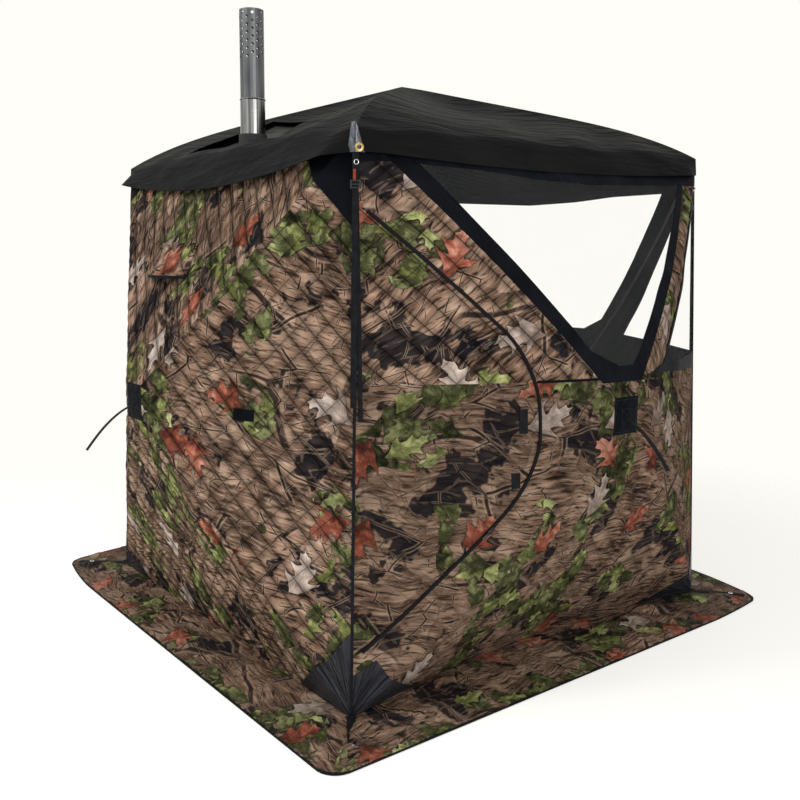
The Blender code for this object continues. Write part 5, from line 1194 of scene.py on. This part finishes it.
# ---- Vent hood ----
# An eyelid of the same cloth, sewn along its top over the vent hole, and held open by a stiff rim.
HOOD_MIDDLE, HOOD_TOP, HOOD_WIDE, HOOD_DROP = -0.050, 1.464, 0.290, 0.118
HOOD_THICK, HOOD_OUT = 0.004, 0.050
u, v = grid(41, 17)
hood_x, hood_z = HOOD_MIDDLE + (u - 0.5) * HOOD_WIDE, HOOD_TOP - HOOD_DROP * v
off_wall = 0.001 + HOOD_THICK + HOOD_OUT * 4 * u * (1 - u) * v
hood_face = on_facet(2, hood_x, hood_z, 3) - np.array([0, 1, 0]) * off_wall[..., None]
hood_back = hood_face + [0, HOOD_THICK, 0]
hood = skin("vent_hood_cloth", quarter(hood_face, 3), quarter(hood_back, 3),
            [SIDE_PRINT_LOW, black_nylon], np.stack([hood_x, hood_z], -1))
rim = hood_face[:, -1] - [0, 0.001, 0.001]
rim_line = strap("vent_hood_rim", quarter(rim, 3), quarter([0, -0.3, 1.0], 3), 0.010, 0.005, webbing)
for piece, kind in ((hood, "quilt_camo"), (rim_line, "webbing")):
    follow(piece)
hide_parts("vent_hood")
cloth_sheet(hood, most=0.0575)

# ---- Rain fly ----
# One coated nylon sheet over the roof, cut square with four ridge seams. It sags a little between
# them, and its flap hangs past the walls' top edges.
fly_cloth, tree, shader = finish("fly_nylon", Specular_IOR_Level=0.012)
where = flat_place(tree)
dull = noise(tree, where, 4.0, 5.0)
tint(tree, shader, dull, (0.3, (0.0065, 0.0065, 0.0070)), (0.8, (0.0140, 0.0140, 0.0150)))
pulled = put(tree, "Mapping", {"Vector": where, "Rotation": (0, 0, 0.6),
                               "Scale": (4.0, 22.0, 1.0)}).outputs[0]
fold = noise(tree, pulled, 1.0, 3.0, Distortion=0.5)
relief(tree, shader, fold, 0.020)
link(tree, scaled(tree, dull, 0.20, 0.40), shader, "Roughness")

EDGE_HALF, HEM_HALF, FLY_TOP, HEM_HEIGHT = 0.858, 0.862, 2.1198, 1.725
EAVE_AT = 0.8
FLY_SAG = {"front": 0.028, "right": 0.028, "back": 0.028, "left": 0.068}
FLY_THICK = 0.0016


def fly_height(half, across):
    """The fly falls by 0.3 of the way out, sags by 40 mm between ridges, and turns down at its edge."""
    share = np.clip((EAVE_HALF - half) / (EAVE_HALF - CROWN_HALF), 0, 1)
    sag = 0.040 * 4 * share * (1 - share) * 4 * across * (1 - across)
    return FLY_TOP - 0.300 * half - 0.050 * (half / 0.800) ** 5.6 - sag


def fly_facet(down, across, sag):
    """One quarter of the fly in the door wall's frame: down runs from the crown at 0 to the eave at
    0.8 and on to the hem at 1, and across from ridge to ridge. Its hem sags in the middle."""
    over = np.clip(down / EAVE_AT, 0, 1)
    drop = np.clip((down - EAVE_AT) / (1 - EAVE_AT), 0, 1)
    half = CROWN_HALF + (EDGE_HALF - CROWN_HALF) * over
    soft = np.clip(across * (1 - across) / 0.05, 0, 1)
    soft = soft * soft * (3 - 2 * soft)
    out = half + drop * (HEM_HALF - EDGE_HALF + (0.036 + 0.9 * (sag - 0.028)) * soft)
    brim = fly_height(EDGE_HALF, 0)
    hem = HEM_HEIGHT - sag * 4 * across * (1 - across)
    height = np.where(drop > 0, brim + (hem - brim) * drop, fly_height(half, across))
    along = (2 * across - 1) * np.where(drop > 0, EDGE_HALF + (HEM_HALF - EDGE_HALF) * drop, half)
    fade = soft * np.clip(over * 3, 0, 1)
    wave = slack(71, along + 0 * down, down * 1.1, 0.0035) * fade * (1 - 0.5 * drop)
    return np.stack([along, -out, height + wave * (drop == 0)], -1)


def pulled_in(points):
    """The fly is stretched towards the near corner: elsewhere it stands in by up to 2.1%, and it
    rides up to 38 mm higher on the door wall's right."""
    x, y, z = np.moveaxis(points, -1, 0)
    half = 0.86
    scale = 1 - 0.021 * (1 - np.clip((-x - y) / (2 * half), 0, 1))
    higher = 0.038 * np.clip((x + half) / (2 * half), 0, 1) * np.clip(-y / half, 0, 1)
    return np.stack([x * scale, y * scale, z + higher], -1)


def cut_down(piece, outline, keep=False):
    """Cuts an outline, given in x and y, down through a roof piece, or keeps what is in it."""
    rim = np.array([(x, y, 1.7) for x, y in outline])
    cut_through(piece, rim, rim + [0, 0, 0.5], keep)


FLY_CUT_OUT = [(-0.800, -0.330), (-0.425, -0.210), (-0.425, 0.330), (-0.800, 0.370)]
down = np.unique(np.concatenate([np.linspace(0, EAVE_AT, 41), np.linspace(EAVE_AT, 1, 7)]))
down, across = np.meshgrid(down, np.linspace(0, 1, 65), indexing="ij")
for side, turns in WALLS.items():
    face = fly_facet(down, across, FLY_SAG[side])
    back = face - [0, 0, FLY_THICK]
    back[..., 1] += np.where(down > 0.78, FLY_THICK, 0)
    flat = np.stack([face[..., 0] + turns * 2.3,
                     np.where(down > EAVE_AT, 0.44 + down * 0.50, down * 1.05)], -1)
    fly = skin(f"fly_{side}", *(pulled_in(quarter(part, turns)) for part in (face, back)),
               [fly_cloth], flat)
    if side == "left":
        cut_down(fly, FLY_CUT_OUT)
    follow_roof(fly)
    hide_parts("rain_fly")
    cloth_sheet(fly, most=1.6)

# ---- Roof panel ----
# Under the fly the roof is a fifth quilted hub panel, dark on both sides, with a square hole where
# the heat-proof flue cloth is sewn in.
FLUE_HOLE = [(-0.770, 0.010), (-0.470, 0.010), (-0.470, 0.310), (-0.770, 0.310)]


def roof_facet(share, across):
    """The roof's facet towards the door: ridges bow by 16 mm, and the cloth sags 46 mm between."""
    s, a = share[..., None], across[..., None]
    reach = 0.07538 / 2 ** 0.5
    ends = np.array([[-reach, -reach, 2.1005], [reach, -reach, 2.1005]])
    left = CORNERS[3] * (1 - s) + ends[0] * s
    right = CORNERS[2] * (1 - s) + ends[1] * s
    rise = 4 * ROOF_BOW * s * (1 - s) - 0.046 * 4 * a * (1 - a) * 4 * s * (1 - s)
    return left * (1 - a) + right * a + np.array([0, 0, 1.0]) * rise


face = roof_facet(*grid(31, 41))
back = face - [0, 0, PAD]
back[0, :, 1] += PAD
for side, turns in WALLS.items():
    both = (quarter(part, turns) for part in (face, back))
    cloth = skin(f"roof_quilt_{side}", *both, [black_nylon, lining], face[..., :2])
    if side == "left":
        cut_down(cloth, FLUE_HOLE)
    follow_roof(cloth)
    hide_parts("roof_panel")
    cloth_sheet(cloth)

# ---- Heat panel, flue and stove ----
# Grey heat-proof cloth is sewn in round the flue, in the fly's cut-out. The flue is steel: bright
# below and matt above. The stove inside is black, with a bright tray of stones.
heat_cloth, tree, shader = finish("heat_cloth", Roughness=0.55, Specular_IOR_Level=0.08)
where = solid_place(tree)
woven_way = noise(tree, where, 420.0, 2.0)
soot = noise(tree, where, 9.0, 5.0)
tint(tree, shader, soot, (0.30, (0.030, 0.031, 0.030)), (0.75, (0.070, 0.072, 0.068)))
relief(tree, shader, scaled(tree, woven_way, 0.15, soot), 0.006)
face = roof_facet(*grid(31, 61)) + [0, 0, 0.0022]
panel = skin("heat_panel", quarter(face, 3), quarter(face - [0, 0, 0.0012], 3), [heat_cloth],
             face[..., :2])
cut_down(panel, [(-0.812, -0.342), (-0.413, -0.222), (-0.413, 0.342), (-0.812, 0.382)], keep=True)
cut_down(panel, FLUE_HOLE)
follow_roof(panel)
cloth_sheet(panel, most=0.29)
coat(heat_cloth, "stove_jack")
coat(metal("bright_flue", (0.055, 0.055, 0.055), (0.30, 0.30, 0.295), 0.12, (70.0, 70.0, 3.0)),
     "flue_lower", "flue_damper")
coat(metal("matt_flue", (0.060, 0.063, 0.066), (0.135, 0.139, 0.143), 0.30, (50.0, 50.0, 4.0)),
     "flue_upper")
coat(metal("tray_steel", (0.34, 0.34, 0.34), (0.55, 0.55, 0.54), 0.24, (5.0, 90.0, 90.0)), "air_slide",
     "stove_latch")
stove_paint, tree, shader = finish("stove_paint", Specular_IOR_Level=0.4)
where = solid_place(tree)
cast = noise(tree, where, 160.0, 3.0)
heat_stain = noise(tree, where, 5.0, 5.0)
tint(tree, shader, heat_stain, (0.3, (0.008, 0.008, 0.008)), (0.8, (0.035, 0.032, 0.030)))
link(tree, scaled(tree, heat_stain, 0.3, 0.42), shader, "Roughness")
relief(tree, shader, cast, 0.0008)
coat(stove_paint, "stove_body", "stove_door")
stone, tree, shader = finish("sauna_stone", Roughness=0.85, Specular_IOR_Level=0.3)
where = solid_place(tree)
speckle = noise(tree, where, 130.0, 5.0, Roughness=0.7)
lump = noise(tree, where, 17.0, 4.0)
tint(tree, shader, scaled(tree, speckle, 0.5, times(tree, lump, 0.5)), (0.35, (0.035, 0.034, 0.033)),
     (0.7, (0.19, 0.185, 0.175)))
relief(tree, shader, scaled(tree, speckle, 0.3, lump), 0.004)
coat(stone, "rock_tray")

# ---- Ground skirt ----
# A band of printed cloth sewn round the walls' foot, bound in black, which lies out on the ground.
skirt_print, tree, shader = finish("skirt_print", Roughness=0.65, Specular_IOR_Level=0.06)
where = flat_place(tree)
link(tree, printed(tree, where, None, (20.3, 18.7)), shader, "Base Color")
rumple = noise(tree, where, 13.0, 4.0, Distortion=1.2)
relief(tree, shader, rumple, 0.016)

SKIRT_IN, SKIRT_OUT, SKIRT_ROUND = 0.9036, 1.145, 0.070


def laid(points):
    """The skirt's outer edge lies pulled in at two of its corners, and the pull fades over 0.45 m."""
    points = np.array(points, float)
    for corner, pull_in in (((1, -1), (-0.085, 0.030)), ((-1, 1), (0.050, -0.062))):
        away = np.linalg.norm(points[..., :2] - np.array(corner) * SKIRT_OUT, axis=-1)
        near = np.clip(1 - away / 0.45, 0, 1) ** 1.5
        outward = np.clip((np.abs(points[..., :2]).max(axis=-1) - SKIRT_IN) / 0.24, 0, 1)
        points[..., :2] += (near * outward)[..., None] * pull_in
    return points


across = np.linspace(0, 1, 97)
reach = np.linspace(0, 1, 15)[:, None]
angle = np.clip((np.abs(2 * across - 1) - 0.93) / 0.07, 0, 1) * pi / 4
straight = SKIRT_OUT - SKIRT_ROUND
x_out = np.where(angle > 0, np.sign(across - 0.5) * (straight + SKIRT_ROUND * np.sin(angle)),
                 (2 * across - 1) / 0.93 * straight)
y_out = -straight - SKIRT_ROUND * np.where(angle > 0, np.cos(angle), 1)
x_in = (2 * across - 1) * SKIRT_IN
for side, turns in WALLS.items():
    y_in = -SKIRT_IN + (SILL_DRAW * 4 * across * (1 - across) if side == "front" else 0)
    x = x_in * (1 - reach) + x_out * reach
    y = y_in * (1 - reach) + y_out * reach
    fade = np.clip(4 * reach * (1.08 - reach), 0, 1) * np.clip(across * (1 - across) * 40, 0, 1)
    rise = 0.0045 + np.abs(slack(90 + turns, x * 2.2, y * 1.3, 0.016)) * fade
    face = np.stack([x, y, rise], -1)
    both = (laid(quarter(part, turns)) for part in (face, face * [1, 1, 0]))
    band = skin(f"skirt_{side}", *both, [skirt_print], np.stack([x + turns * 2.9, y], -1))
    rides(band, "tent", "quilt_camo", "ground_skirt")
    cloth_sheet(band, most=0.56)
    edge = np.stack([x[-1], y[-1], np.full(len(across), 0.0036)], -1)
    inward = quarter(-edge * [1, 1, 0], turns)
    binding = strap(f"skirt_binding_{side}", laid(quarter(edge, turns)), inward, 0.011, 0.006, webbing)
    rides(binding, "tent", "webbing")

# ---- Floor, background and light ----
# A pale studio floor that shows white to the camera and keeps the tent's shadow.
SHOWN_WHITE = (1.0, 0.991, 0.94, 1)
floor_colour, tree, shader = finish("studio_floor", Roughness=0.9, Emission_Strength=0.50,
                                    Emission_Color=SHOWN_WHITE, Base_Color=(0.90, 0.893, 0.86, 1))
out = put(tree, "VectorMath", {0: solid_place(tree)}, operation="LENGTH").outputs["Value"]
link(tree, span(tree, out, 3.4, 2.0), shader, "Alpha")
floor_mesh = bpy.data.meshes.new("floor")
floor_mesh.from_pydata([(x, y, -0.0005) for x, y in oblong(-4, 4, -4, 4)], [], [(0, 1, 2, 3)])
floor_mesh.materials.append(floor_colour)
floor = bpy.data.objects.new("floor", floor_mesh)
bpy.context.scene.collection.objects.link(floor)

world = bpy.data.worlds.new("studio")
bpy.context.scene.world = world
world.use_nodes = True
tree = world.node_tree
tree.nodes.clear()
path = put(tree, "LightPath")
seen = work(tree, "MAXIMUM", path.outputs["Is Camera Ray"],
            work(tree, "MAXIMUM", path.outputs["Is Glossy Ray"], path.outputs["Is Transmission Ray"]))
plain = put(tree, "Background", {"Color": (1, 1, 1, 1), "Strength": 0.38})
shown = put(tree, "Background", {"Color": SHOWN_WHITE, "Strength": 1.0})
both = put(tree, "MixShader", {0: seen, 1: plain.outputs[0], 2: shown.outputs[0]})
out = put(tree, "OutputWorld")
tree.links.new(both.outputs[0], out.inputs["Surface"])

for name, spot, size, power, aim in (
    ("key_light", (-2.6, -6.4, 1.9), 3.0, 240, (0, -0.4, 0.9)),
    ("left_light", (-5.2, 0.8, 3.0), 2.6, 14, (-0.6, 0, 1.2)),
    ("top_light", (-4.0, 1.2, 4.4), 2.4, 90, (0, 0, 1.4)),
):
    lamp = bpy.data.lights.new(name, "AREA")
    lamp.size = size
    lamp.energy = power
    made = bpy.data.objects.new(name, lamp)
    bpy.context.scene.collection.objects.link(made)
    turned = (Vector(aim) - Vector(spot)).to_track_quat("-Z", "Y").to_matrix().to_4x4()
    made.matrix_world = Matrix.Translation(spot) @ turned

bpy.context.scene.view_settings.view_transform = "Standard"
